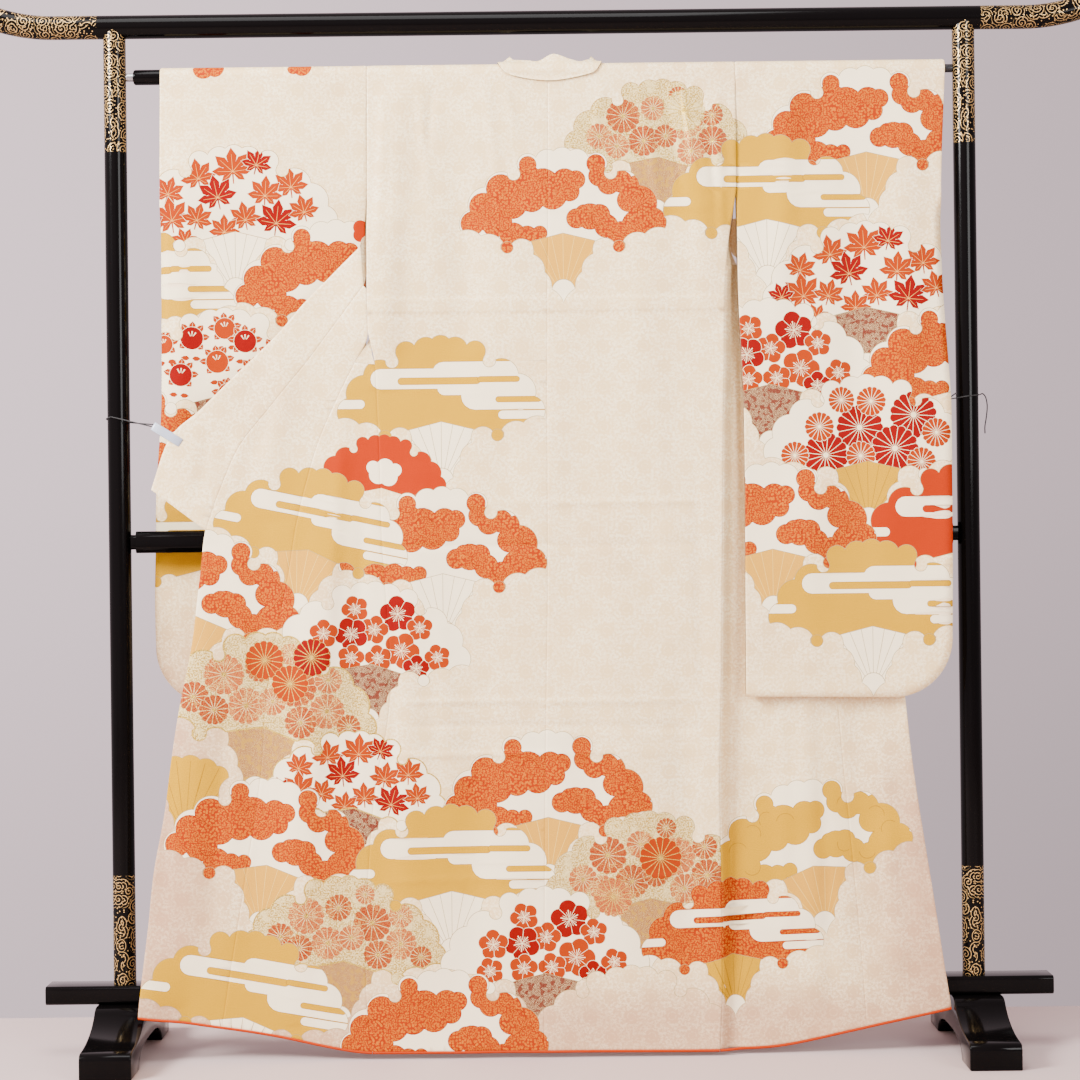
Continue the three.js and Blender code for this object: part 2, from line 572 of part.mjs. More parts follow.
// The string's loose end, from its knot on the outside of the right post. Steps in X, Y, Z.
const STRING_KNOT = {
  x: STAND.postX + STRING.post + STRING.radius + 2 * GAP, y: 0, z: 1104.2,
};
const STRING_END = [
  [0, 0, 0], [4, -1, 1.5], [9, -2, -5], [11.5, -1.5, -20], [10, -0.5, -38], [7.5, 0, -54],
  [7.5, 0, -66],
].map(([x, y, z]) => new THREE.Vector3(STRING_KNOT.x + x, STRING_KNOT.y + y, STRING_KNOT.z + z));

// ---------------------------------------------------------------- stand
const lathe = (profile, segments) => {
  const points = profile.map(([radius, along]) => new THREE.Vector2(radius, along));
  return new THREE.LatheGeometry(points, segments);
};
const alongX = (geometry) => geometry.rotateZ(-Math.PI / 2);

const upturn = (x) => {
  const past = Math.max(0, Math.abs(x) - STAND.upturnFrom);
  return STAND.upturnRise * (past / (STAND.topRailHalf - STAND.upturnFrom)) ** 2;
};
const RAIL_LAST_STOP = 912;
function topRail() {
  const half = STAND.topRailHalf;
  const stops = [
    -half, -RAIL_LAST_STOP, -885, -855, -STAND.upturnFrom, -700, -350, 0, 350, 700,
    STAND.upturnFrom, 855, 885, RAIL_LAST_STOP, half,
  ];
  const path = stops.map((x) => new THREE.Vector3(x, 0, STAND.topRailZ + upturn(x)));
  return sweptTube(path, STAND.topRailDia / 2, 16, 24);
}
function endCap(side) {
  const r = STAND.topRailDia / 2;
  const length = STAND.capLength;
  const cap = lathe([[0, 0], [r, 0], [r + 1, 2], [r + 1, 6], [r * 0.8, 11], [r * 0.45, length - 1], [0, length]], 18);
  const last = STAND.topRailHalf;
  const slope = Math.atan2(upturn(last) - upturn(RAIL_LAST_STOP), last - RAIL_LAST_STOP);
  cap.rotateX(Math.PI / 2);
  cap.rotateY(side * (Math.PI / 2 - slope));
  const x = side * STAND.topRailHalf;
  cap.translate(
    x + side * GAP * Math.cos(slope), 0, STAND.topRailZ + upturn(x) + GAP * Math.sin(slope));
  return cap;
}

// A post, hollowed at its top to the round of the rail that it carries.
function post(side) {
  const bottom = STAND.lowRailTop + GAP;
  const top = STAND.topRailZ - STAND.topRailDia / 2 + 8;
  const body = new THREE.CylinderGeometry(STAND.postDia / 2, STAND.postDia / 2, top - bottom, 28);
  body.rotateX(Math.PI / 2);
  body.translate(side * STAND.postX, 0, (top + bottom) / 2);
  const seat = new THREE.CylinderGeometry(
    STAND.topRailDia / 2 + GAP, STAND.topRailDia / 2 + GAP, 3 * STAND.postDia, 28);
  alongX(seat);
  seat.translate(side * STAND.postX, 0, STAND.topRailZ);
  return fromManifold(toManifold(body).subtract(toManifold(seat)));
}

function hangingRod() {
  const r = STAND.rodDia / 2;
  const c = STAND.rodChamfer;
  const h = STAND.rodHalf;
  const rod = lathe([[0, -h], [r - c, -h], [r, c - h], [r, h - c], [r - c, h], [0, h]], 24);
  return alongX(rod).translate(0, 0, STAND.rodZ);
}
function rodPin(side) {
  const from = STAND.rodHalf + GAP;
  const to = STAND.postX - STAND.postDia / 2 - GAP;
  const pin = new THREE.CylinderGeometry(STAND.pinDia / 2, STAND.pinDia / 2, to - from, 16);
  return alongX(pin).translate(side * (from + to) / 2, 0, STAND.rodZ);
}

// A bar along X with chamfered edges.
function chamferedBar(half, deep, tall, chamfer, z) {
  const [a, b] = [deep / 2, tall / 2];
  const shape = new THREE.Shape();
  const outline = [
    [-a + chamfer, -b], [a - chamfer, -b], [a, -b + chamfer], [a, b - chamfer],
    [a - chamfer, b], [-a + chamfer, b], [-a, b - chamfer], [-a, -b + chamfer],
  ];
  outline.forEach(([y, up], k) => (k === 0 ? shape.moveTo(y, up) : shape.lineTo(y, up)));
  const bar = new THREE.ExtrudeGeometry(shape, { depth: 2 * half, bevelEnabled: false });
  bar.translate(0, 0, -half);
  bar.applyMatrix4(new THREE.Matrix4().makeBasis(
    new THREE.Vector3(0, 1, 0), new THREE.Vector3(0, 0, 1), new THREE.Vector3(1, 0, 0)));
  return bar.translate(0, 0, z);
}
// The middle rail's ends are cut back to a smaller square where they enter the posts.
function midRail() {
  const reach = STAND.postX - STAND.postDia / 2 - GAP;
  const full = chamferedBar(reach - 9, STAND.midRailSize, STAND.midRailSize, STAND.midRailChamfer, STAND.midRailZ);
  const tenon = chamferedBar(reach, 25, 25, 4, STAND.midRailZ);
  return fromManifold(toManifold(full).add(toManifold(tenon)));
}

// A foot: toes front and back, an arch between them, its crown swept up to the low rail.
function foot(side) {
  const half = STAND.footLength / 2;
  const arch = half - STAND.toeLength;
  const shape = new THREE.Shape();
  shape.moveTo(-half, 0);
  shape.lineTo(-half, STAND.toeTall);
  shape.quadraticCurveTo(-half, STAND.toeCrown - 2, -half + 12, STAND.toeCrown);
  shape.bezierCurveTo(-110, STAND.toeCrown + 4, -80, 66, -62, 80);
  shape.quadraticCurveTo(-52, STAND.footTall, -STAND.footSeatHalf, STAND.footTall);
  shape.lineTo(STAND.footSeatHalf, STAND.footTall);
  shape.quadraticCurveTo(52, STAND.footTall, 62, 80);
  shape.bezierCurveTo(80, 66, 110, STAND.toeCrown + 4, half - 12, STAND.toeCrown);
  shape.quadraticCurveTo(half, STAND.toeCrown - 2, half, STAND.toeTall);
  shape.lineTo(half, 0);
  shape.lineTo(arch, 0);
  shape.bezierCurveTo(arch - 12, STAND.archTall, 60, STAND.archTall, 0, STAND.archTall);
  shape.bezierCurveTo(-60, STAND.archTall, 12 - arch, STAND.archTall, -arch, 0);
  const geometry = new THREE.ExtrudeGeometry(
    shape, { depth: STAND.footWidth, bevelEnabled: false, curveSegments: 8 });
  geometry.translate(0, 0, -STAND.footWidth / 2);
  geometry.applyMatrix4(new THREE.Matrix4().makeBasis(
    new THREE.Vector3(0, 1, 0), new THREE.Vector3(0, 0, 1), new THREE.Vector3(1, 0, 0)));
  return geometry.translate(side * STAND.postX, 0, 0);
}

// ---------------------------------------------------------------- the whole
const SIDES = [['left', -1], ['right', 1]];

for (const [edge, side] of SIDES) {
  addPiece(`foot_${edge}`, foot(side), COLOURS.lacquer, 0.25);
  addPiece(`post_${edge}`, post(side), COLOURS.lacquer, 0.25);
  addPiece(`rail_cap_${edge}`, endCap(side), COLOURS.gilt, 0.3, 0.8);
}
addPiece('rail_top', topRail(), COLOURS.lacquer, 0.25);
addPiece('rail_middle', midRail(), COLOURS.lacquer, 0.25);
addPiece(
  'rail_low',
  chamferedBar(
    STAND.lowRailHalf, STAND.lowRailDeep, STAND.lowRailTall, STAND.lowRailChamfer,
    STAND.lowRailTop - STAND.lowRailTall / 2),
  COLOURS.lacquer, 0.25);
addPiece('rod_hanging', hangingRod(), COLOURS.lacquer, 0.3);
addPiece('rod_pin_left', rodPin(-1), COLOURS.steel, 0.3, 0.9);
addPiece('rod_pin_right', rodPin(1), COLOURS.dark, 0.4, 0.6);

for (const [edge, side] of SIDES) {
  addPiece(`back_${edge}`, backPanel(side), COLOURS.silk);
  addPiece(`front_${edge}`, frontPanel(side), COLOURS.silk);
  addPiece(`okumi_${edge}`, overlapPanel(side), COLOURS.silk);
  addPiece(`collar_${edge}`, collarStrap(side), COLOURS.silk);
  addPiece(`sleeve_${edge}`, sleeve(edge), COLOURS.silk);
  addPiece(`clip_${edge}`, clip(edge), COLOURS.clip, 0.4, 0.4);
  addPiece(`string_${edge}`, stringRound(edge), COLOURS.elastic, 0.9);
}
addPiece('collar_neck', neckStretch(), COLOURS.silk);
addPiece('string_end_right', sweptTube(STRING_END, STRING.radius, STRING.sides, 20), COLOURS.elastic, 0.9);

const backHem = [backEdge('left', 8), backEdge('right', 8)];
addPiece('hem_roll_left', hemRoll(-686, backHem[0] - 4 * GAP, faceY, 10), COLOURS.lining);
addPiece('hem_roll_back', hemRoll(backHem[0], backHem[1], faceY, 14), COLOURS.lining);
const rightHem = (x, z) => lerp(
  faceY(backHem[1], z) + 1, rearY(x, z), smooth(0, 46, x - backHem[1]));
addPiece('hem_roll_right', hemRoll(backHem[1] + 4 * GAP, 674, rightHem, 10), COLOURS.lining);

export default group;
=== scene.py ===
"""A furisode kimono hung open on its lacquered stand: the visible model around the solids."""

import logging
import math
from dataclasses import dataclass, field
from enum import Enum
from typing import Callable, Dict, List, Optional, Sequence, Tuple

import bmesh
import bpy
import numpy as np
from mathutils import Matrix, Vector
from mathutils.geometry import delaunay_2d_cdt


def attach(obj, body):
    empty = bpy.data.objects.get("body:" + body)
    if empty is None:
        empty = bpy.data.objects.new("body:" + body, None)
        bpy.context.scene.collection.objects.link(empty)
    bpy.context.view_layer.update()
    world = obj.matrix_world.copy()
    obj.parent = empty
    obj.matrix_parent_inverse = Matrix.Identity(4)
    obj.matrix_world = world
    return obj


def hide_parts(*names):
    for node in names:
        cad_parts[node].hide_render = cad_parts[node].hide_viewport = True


LOG = logging.getLogger("furisode")
MM = 0.001
Point2 = Tuple[float, float]
Array = np.ndarray

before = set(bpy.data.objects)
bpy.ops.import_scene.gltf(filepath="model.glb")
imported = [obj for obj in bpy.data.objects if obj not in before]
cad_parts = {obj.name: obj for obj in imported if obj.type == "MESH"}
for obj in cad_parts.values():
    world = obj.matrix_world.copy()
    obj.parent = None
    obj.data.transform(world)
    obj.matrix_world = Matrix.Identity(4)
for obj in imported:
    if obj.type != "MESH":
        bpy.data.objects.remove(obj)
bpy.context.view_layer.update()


# ----------------------------------------------------------------------------- small maths
def smooth(start: float, end: float, value: Array) -> Array:
    """Returns 0 before start, 1 after end and a smooth step between them."""
    t = np.clip((np.asarray(value, float) - start) / (end - start), 0.0, 1.0)
    return t * t * (3 - 2 * t)


def bell(value: Array) -> Array:
    """Returns a rounded bump that is 1 at 0 and fades on both sides."""
    return np.exp(-np.square(value))


def mix(first: Array, second: Array, share: Array) -> Array:
    """Returns the value that lies at share between first and second."""
    return first + (second - first) * share


@dataclass(frozen=True)
class Track:
    """Columns of sizes by position, read as smooth curves.

    The first column is the position, in millimetres, in rising or falling order.
    """

    columns: Sequence[str]
    rows: Sequence[Sequence[float]]

    def read(self, column: str, at: Array) -> Array:
        """Reads a column as a smooth curve that never overshoots its rows.

        Args:
            column: The column's name.
            at: Positions to read it at.

        Returns:
            One value for each position.
        """
        table = np.array(sorted(self.rows), float)
        spots, values = table[:, 0], table[:, self.columns.index(column)]
        at = np.clip(np.asarray(at, float), spots[0], spots[-1])
        span = np.diff(spots)
        slope = np.diff(values) / span
        chord = np.empty_like(values)
        chord[1:-1] = (values[2:] - values[:-2]) / (spots[2:] - spots[:-2])
        chord[0], chord[-1] = slope[0], slope[-1]
        i = np.clip(np.searchsorted(spots, at, side="left") - 1, 0, len(span) - 1)
        t = (at - spots[i]) / span[i]
        here = slope[i]

        def limited(tangent: Array) -> Array:
            """Returns a tangent that is gentle enough not to overshoot."""
            held = np.sign(here) * np.minimum(np.abs(tangent), 3 * np.abs(here))
            return np.where(tangent * here <= 0, 0.0, held)

        m0 = limited(chord[i]) * span[i]
        m1 = limited(chord[i + 1]) * span[i]
        t2, t3 = t * t, t * t * t
        start = (2 * t3 - 3 * t2 + 1) * values[i] + (t3 - 2 * t2 + t) * m0
        return start + (3 * t2 - 2 * t3) * values[i + 1] + (t3 - t2) * m1


def waves(x: Array, z: Array, seed: int, count: int, longest: float) -> Array:
    """Returns a gentle uneven field between about -1 and 1, the same on every run.

    Args:
        x: Positions across, in millimetres.
        z: Positions up, in millimetres.
        seed: Chooses the field.
        count: How many waves are summed.
        longest: Length of the longest wave, in millimetres.
    """
    rng = np.random.default_rng(seed)
    total = np.zeros(np.broadcast(x, z).shape)
    for k in range(count):
        angle = rng.uniform(0, 2 * math.pi)
        length = longest * rng.uniform(0.35, 1.0)
        phase = rng.uniform(0, 2 * math.pi)
        along = x * math.cos(angle) + z * math.sin(angle)
        total = total + np.sin(2 * math.pi * along / length + phase)
    return total / math.sqrt(count)


def placed(name: str, data: bpy.types.ID, node: str, slot: str) -> bpy.types.Object:
    """Adds one piece to the scene, where it rides the root in place of a solid.

    Args:
        name: The piece's name.
        data: Its mesh or curve.
        node: The solid that it replaces.
        slot: Not used.

    Returns:
        The piece.
    """
    piece = bpy.data.objects.new(name, data)
    bpy.context.scene.collection.objects.link(piece)
    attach(piece, "root")
    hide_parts(node)
    return piece


# ----------------------------------------------------------------------------- view and light
@dataclass(frozen=True)
class Viewpoint:
    """The camera: level, straight on to the garment's back, in metres and degrees."""

    distance: float = 4.2
    height: float = 0.866
    aside: float = -0.0075
    lens: float = 82.5
    roll: float = 0.66

    def place(self) -> bpy.types.Object:
        """Adds the camera and makes it the scene's.

        Returns:
            The camera object.
        """
        data = bpy.data.cameras.new("view")
        data.lens = self.lens
        data.sensor_width = 36.0
        camera = bpy.data.objects.new("view", data)
        camera.location = (self.aside, -self.distance, self.height)
        look = Matrix.Rotation(math.radians(90), 4, "X")
        turn = Matrix.Rotation(math.radians(self.roll), 4, "Y")
        camera.rotation_euler = (turn @ look).to_euler()
        bpy.context.scene.collection.objects.link(camera)
        bpy.context.scene.camera = camera
        return camera


@dataclass
class Studio:
    """A pale floor, a soft pale surround in place of a wall, and the lamps, in metres and watts."""

    half_width: float = 6.0
    front: float = -7.0
    back: float = 0.34
    floor_colour: Tuple[float, float, float] = (0.47, 0.36, 0.335)
    surround_tint: Tuple[float, float, float, float] = (1.0, 0.79, 0.845, 1.0)
    bright_side: float = 1.42
    dim_side: float = 0.82
    low_share: float = 0.72

    def floor(self) -> bpy.types.Object:
        """Builds the floor, which ends a little behind the stand's feet.

        Returns:
            The floor object, marked as stage.
        """
        corners = [(-self.half_width, self.front), (self.half_width, self.front),
                   (self.half_width, self.back), (-self.half_width, self.back)]
        mesh = bpy.data.meshes.new("floor")
        mesh.from_pydata([(x, y, 0.0) for x, y in corners], [], [(0, 1, 2, 3)])
        floor = bpy.data.objects.new("floor", mesh)
        bpy.context.scene.collection.objects.link(floor)
        paint = bpy.data.materials.new("floor_paint")
        paint.use_nodes = True
        shader = paint.node_tree.nodes["Principled BSDF"]
        shader.inputs["Base Color"].default_value = (*self.floor_colour, 1)
        shader.inputs["Roughness"].default_value = 0.6
        shader.inputs["Specular IOR Level"].default_value = 0.2
        mesh.materials.append(paint)
        return floor

    def surround(self) -> None:
        """Gives the world a soft light that falls off from the bright side and towards the floor."""
        world = bpy.data.worlds.new("surround")
        world.use_nodes = True
        tree = world.node_tree
        split = tree.nodes.new("ShaderNodeSeparateXYZ")
        tree.links.new(tree.nodes.new("ShaderNodeTexCoord").outputs["Generated"], split.inputs[0])
        shares = []
        for axis, values in ((0, (-0.27, 0.27, self.bright_side, self.dim_side)),
                             (2, (-0.2, 0.1, self.low_share, 1.0))):
            share = tree.nodes.new("ShaderNodeMapRange")
            share.interpolation_type = "SMOOTHSTEP"
            for socket, value in zip(list(share.inputs)[1:5], values):
                socket.default_value = value
            tree.links.new(split.outputs[axis], share.inputs[0])
            shares.append(share.outputs[0])
        product = tree.nodes.new("ShaderNodeMath")
        product.operation = "MULTIPLY"
        for socket, share in zip(product.inputs, shares):
            tree.links.new(share, socket)
        background = tree.nodes["Background"]
        background.inputs["Color"].default_value = self.surround_tint
        tree.links.new(product.outputs[0], background.inputs["Strength"])
        bpy.context.scene.world = world

    def lamp(self, name: str, at: Sequence[float], aim: Sequence[float], size: float,
             watts: float) -> None:
        """Adds one large soft lamp.

        Args:
            name: The lamp's name.
            at: Its place.
            aim: The point it faces.
            size: Its side.
            watts: Its power.
        """
        data = bpy.data.lights.new(name, "AREA")
        data.shape = "SQUARE"
        data.size = size
        data.energy = watts
        lamp = bpy.data.objects.new(name, data)
        lamp.location = at
        lamp.rotation_euler = (Vector(aim) - Vector(at)).to_track_quat("-Z", "Y").to_euler()
        bpy.context.scene.collection.objects.link(lamp)

    def light(self) -> None:
        """Adds the lamps and the surround."""
        self.lamp("key", (-3.5, -2.5, 3.0), (0, 0, 0.9), 1.5, 690)
        self.lamp("fill", (2.6, -3.6, 1.9), (0, 0, 0.8), 1.6, 150)
        self.lamp("top", (-0.4, -1.6, 4.2), (0, 0.2, 0.6), 2.0, 150)
        self.surround()


# ----------------------------------------------------------------------------- shape of the hang
@dataclass(frozen=True)
class Fold:
    """A soft fold: it runs from top to bottom, leans sideways and stands out, in millimetres."""

    x: float
    top: float
    bottom: float
    lean: float
    wide: float
    out: float

    def depth(self, x: Array, z: Array) -> Array:
        """Returns how far the fold moves the cloth back at each place."""
        along = np.clip((self.top - z) / (self.top - self.bottom), 0, 1)
        inside = np.where((z < self.top) & (z > self.bottom), np.sin(math.pi * along), 0)
        swell = np.power(np.maximum(inside, 0), 0.6)
        return -self.out * swell * bell((x - self.x - self.lean * along) / self.wide)


@dataclass(frozen=True)
class Crease:
    """A pressed line left by storage: level or nearly so, in millimetres."""

    z: float
    left: float
    right: float
    slope: float
    wide: float
    out: float

    def depth(self, x: Array, z: Array) -> Array:
        """Returns how far the crease moves the cloth back at each place."""
        ends = smooth(self.left, self.left + 60, x) * smooth(self.right, self.right - 60, x)
        line = self.z + self.slope * (x - self.left)
        return -self.out * ends * bell((z - line) / self.wide)


def fold_rows(rows: Sequence[Sequence[float]]) -> List[Fold]:
    """Makes folds from rows of x, top, bottom, lean, wide and out."""
    return [Fold(*row) for row in rows]


BACK_EDGE = Track(("z", "left", "centre", "right"), (
    (1660, -291, 15, 331), (1460, -292, 13, 330), (1384, -293, 12, 317.5), (1302, -293, 10, 309),
    (1222, -292, 9, 306), (1171, -282, 8, 305), (1060, -277, 7, 301.5), (986, -274.5, 6.5, 300),
    (869, -272, 5.5, 297.6), (754, -265, 4, 295), (638, -259, 1, 292.6), (550, -268, -1, 290),
    (466, -285, -3, 287.5), (350, -298, -5, 288), (235, -304, -7, 288.5), (120, -307, -9, 288.5),
    (8, -297, -10.5, 283),
))
HEM = Track(("x", "z"), (
    (-688, 75), (-575, 58.5), (-460, 40), (-346, 15.5), (-296, 9.5), (0, 8.5), (283, 7),
    (387, 11), (503, 33.6), (619, 58), (676, 70),
))
FACE = Track(("z", "y"), (
    (1658.5, -14.5), (1560, -20), (1456, -26), (1376, -31), (1225, -38), (1046, -47),
    (870, -56), (600, -60), (300, -62), (8, -62),
))
REAR = Track(("z", "y"), (
    (1450, 22), (1376, 16), (1302, 8), (1225, -1), (1134, -10), (1046, -17), (960, -22.5),
    (870, -27), (700, -31), (596, -33), (300, -40), (122, -44), (8, -46),
))
FACE_FOLDS = fold_rows((
    (-238, 1650, 1120, -30, 26, 7), (-150, 1640, 1180, 25, 30, -5), (250, 1650, 1230, 35, 28, 6),
    (170, 1560, 900, -10, 40, 4), (-210, 1000, 60, -40, 34, 6), (-110, 720, 20, -20, 42, -5),
    (120, 800, 20, 10, 45, 5), (225, 700, 20, 18, 30, -5), (-360, 1020, 60, -60, 30, 8),
    (-470, 1010, 120, -30, 34, -6), (-560, 860, 90, -60, 26, 6), (-430, 1230, 900, -40, 30, 5),
))
REAR_FOLDS = fold_rows((
    (338, 1440, 700, 12, 12, -5), (420, 1200, 60, 25, 30, 6), (500, 1150, 40, 40, 32, -5),
    (590, 900, 90, 55, 28, 5),
))
FINE_FACE_FOLDS = fold_rows((
    (-262, 1640, 1330, -14, 9, 2.4), (-205, 1652, 1440, 18, 8, 2.2), (-178, 1650, 1500, -16, 7, -2.0),
    (-95, 1655, 1420, 30, 10, 2.0), (-60, 1650, 1540, 22, 7, 1.8), (110, 1655, 1500, -26, 8, 2.2),
    (165, 1656, 1380, 45, 9, 2.8), (205, 1655, 1440, 36, 7, -2.4), (238, 1652, 1470, 26, 6, 2.6),
    (268, 1650, 1420, 30, 7, -2.2), (300, 1652, 1330, 6, 8, 3.0), (-40, 1250, 900, 10, 22, 1.6),
    (60, 1230, 860, -14, 26, -1.6), (-180, 860, 420, 16, 18, 2.0), (20, 620, 120, 12, 24, 1.8),
    (190, 1180, 780, 14, 20, 1.8), (-250, 760, 380, -18, 12, -2.2), (255, 1040, 520, 8, 12, -1.8),
    (-330, 1130, 560, -46, 14, 2.6), (-300, 980, 420, -30, 12, -2.4), (-400, 820, 240, -36, 16, 2.4),
    (-520, 780, 140, -50, 15, -2.6), (-600, 620, 160, -40, 13, 2.2), (-350, 480, 40, -26, 18, 2.2),
    (-500, 1090, 960, -20, 16, 2.4), (-560, 1060, 930, -22, 14, -2.2), (-440, 1150, 1010, -40, 14, -2.0),
))
FINE_REAR_FOLDS = fold_rows((
    (322, 1450, 900, 4, 6, 3.0), (332, 1400, 640, 8, 5, -3.0), (345, 1330, 700, 10, 7, 2.6),
    (390, 700, 60, 12, 16, 2.2), (455, 640, 40, 20, 14, -2.2), (560, 600, 90, 30, 16, 2.2),
    (620, 560, 120, 26, 13, -2.0),
))
PRESSED = [
    Crease(925, -270, 296, 0.006, 5, 1.4), Crease(858, -270, 296, 0.0, 6, -1.6),
    Crease(597, -262, 292, -0.008, 5, 1.8), Crease(560, -262, 290, -0.02, 7, -1.6),
    Crease(509, -280, 288, 0.004, 5, 1.5), Crease(1420, -290, 325, 0.01, 6, 1.0),
    Crease(300, -300, 288, 0.004, 6, 0.9),
]
TUCK = {"low": 1252.0, "high": 1273.0, "out": 1.5, "edge": 2.2}


def passing(x: Array, z: Array) -> Array:
    """Returns the push on the back's edge where the left front passes behind it."""
    return -9 * bell((x + 292) / 45) * smooth(1150, 1240, z) * smooth(1450, 1380, z)


def over_foot(x: Array, z: Array) -> Array:
    """Returns the forward swing of the left front's edge above the foot."""
    return -16 * smooth(-600, -680, x) * smooth(260, 90, z)


def face_depth(x: Array, z: Array) -> Array:
    """Returns the depth of the side seen first: the back, the left front and its collar."""
    y = FACE.read("y", z) + passing(x, z) + over_foot(x, z)
    for fold in FACE_FOLDS + FINE_FACE_FOLDS:
        y = y + fold.depth(x, z)
    return y + 0.9 * waves(x, z, 3, 6, 260)


def back_depth(x: Array, z: Array) -> Array:
    """Returns the depth of the back, with its tuck and its storage creases."""
    y = face_depth(x, z)
    for crease in PRESSED:
        y = y + crease.depth(x, z)
    e = TUCK["edge"]
    tuck = smooth(TUCK["low"] - e, TUCK["low"], z) * smooth(TUCK["high"] + e, TUCK["high"], z)
    return y - TUCK["out"] * tuck


def rear_depth(x: Array, z: Array) -> Array:
    """Returns the depth of the right front, which hangs behind its sleeve."""
    y = REAR.read("y", z)
    for fold in REAR_FOLDS + FINE_REAR_FOLDS:
        y = y + fold.depth(x, z)
    return y + 0.9 * waves(x, z, 5, 6, 240)


SWING = 20.0
HEM_ROLL = 4.4


def right_front_depth(x: Array, z: Array) -> Array:
    """Returns the right front's depth, from the side seam back to behind the sleeve."""
    edge = BACK_EDGE.read("right", z)
    away = smooth(0, SWING, x - edge)
    return mix(face_depth(edge, z) + 1, rear_depth(x, z), away)


def hem_height(x: Array) -> Array:
    """Returns the height of the silk's lower edge, just above the padded lining edge."""
    return HEM.read("z", x) + HEM_ROLL


# ----------------------------------------------------------------------------- flat cloth meshes
ROD_Z = 1658.5
OVER_ROD = 14.5
QUARTER = OVER_ROD * math.pi / 2
BELOW_ROD = 40.0
INSETS = (1.3, 2.8, 5.5)


@dataclass(eq=False)
class Patch:
    """A closed run of dyed silk: its outline, the dye it takes and the patch it stays within."""

    dye: str
    outline: Array
    within: Optional["Patch"] = None

    def box(self) -> Tuple[float, float, float, float]:
        """Returns the lowest and highest x and z of the outline."""
        low, high = self.outline.min(axis=0), self.outline.max(axis=0)
        return low[0], high[0], low[1], high[1]


def counter_clockwise(outline: Array) -> Array:
    """Returns the outline with its points in counter-clockwise order."""
    x, z = outline[:, 0], outline[:, 1]
    area = np.sum(x * np.roll(z, -1) - np.roll(x, -1) * z)
    return outline if area > 0 else outline[::-1]


def inside(points: Array, outline: Array) -> Array:
    """Returns which points lie within an outline, by counting crossings."""
    x, z = points[:, 0][:, None], points[:, 1][:, None]
    x0, z0 = outline[:, 0][None], outline[:, 1][None]
    x1, z1 = np.roll(x0, -1), np.roll(z0, -1)
    level = (z0 > z) != (z1 > z)
    rise = np.where(z1 == z0, 1e-9, z1 - z0)
    return (np.sum(level & (x < (x1 - x0) * (z - z0) / rise + x0), axis=1) % 2) == 1


@dataclass
class ClothMesh:
    """Gathers vertices, faces and dyes, and becomes one Blender piece."""

    name: str
    finishes: "Finishes"
    verts: List[Array] = field(default_factory=list)
    normals: List[Array] = field(default_factory=list)
    flats: List[Array] = field(default_factory=list)
    faces: List[Array] = field(default_factory=list)
    dyes: List[Array] = field(default_factory=list)
    slots: List[str] = field(default_factory=list)
    count: int = 0

    def dye_index(self, dye: str) -> int:
        """Returns the material index of a dye, adding it when it is new."""
        if dye not in self.slots:
            self.slots.append(dye)
        return self.slots.index(dye)

    def add(self, verts: Array, normals: Array, flat: Array, faces: Array, dyes: Array) -> None:
        """Adds triangles.

        Args:
            verts: Points, in millimetres.
            normals: One normal for each point.
            flat: Where each point lies on the flat cloth, in millimetres.
            faces: Three indices for each triangle, into verts.
            dyes: A material index for each triangle.
        """
        self.verts.append(verts)
        self.normals.append(normals)
        self.flats.append(flat)
        self.faces.append(np.asarray(faces, int) + self.count)
        self.dyes.append(np.asarray(dyes, int))
        self.count += len(verts)

    def shell(self, seen: "Skin", unseen: "Skin", rim: Sequence[Tuple[int, int]], thick: float) -> None:
        """Adds a thin two-sided cloth: silk outside, lining inside and a rim between them.

        Args:
            seen: The outer skin.
            unseen: The inner skin, with its faces turned as the outer skin's are.
            rim: Pairs of one outer and one inner point, in order along the cloth's edge.
            thick: The cloth's thickness.
        """
        n = len(seen.points)
        outer = seen.points + seen.normals * thick / 2
        inner = unseen.points - unseen.normals * thick / 2
        band = []
        for (p, r), (q, t) in rim:
            band += [(p, r + n, t + n), (p, t + n, q)]
        faces = [seen.faces, unseen.faces[:, ::-1] + n, np.array(band, int)]
        dyes = [seen.dyes, unseen.dyes, np.full(len(band), self.dye_index("silk"))]
        self.add(np.vstack([outer, inner]), np.vstack([seen.normals, -unseen.normals]),
                 np.vstack([seen.flat, unseen.flat]), np.vstack(faces), np.concatenate(dyes))

    def build(self, node: str, slot: str) -> bpy.types.Object:
        """Makes the Blender object from what was added.

        Args:
            node: The solid that it replaces.
            slot: The kind of finish that it has.

        Returns:
            The new object, in metres, smooth shaded.
        """
        verts = np.vstack(self.verts) * MM
        faces = np.vstack(self.faces)
        mesh = bpy.data.meshes.new(self.name)
        mesh.vertices.add(len(verts))
        mesh.vertices.foreach_set("co", verts.astype(np.float32).ravel())
        mesh.loops.add(3 * len(faces))
        mesh.loops.foreach_set("vertex_index", faces.astype(np.int32).ravel())
        mesh.polygons.add(len(faces))
        mesh.polygons.foreach_set("loop_start", np.arange(0, 3 * len(faces), 3, dtype=np.int32))
        mesh.polygons.foreach_set("material_index", np.concatenate(self.dyes).astype(np.int32))
        mesh.polygons.foreach_set("use_smooth", np.ones(len(faces), bool))
        mesh.update(calc_edges=True)
        flat = np.vstack(self.flats)[faces.ravel()] * MM
        layer = mesh.uv_layers.new(name="cloth")
        layer.data.foreach_set("uv", flat.astype(np.float32).ravel())
        for dye in self.slots:
            mesh.materials.append(self.finishes.material(dye))
        normals = np.vstack(self.normals).astype(np.float32)
        mesh.normals_split_custom_set_from_vertices(normals.tolist())
        return placed(self.name, mesh, node, slot)


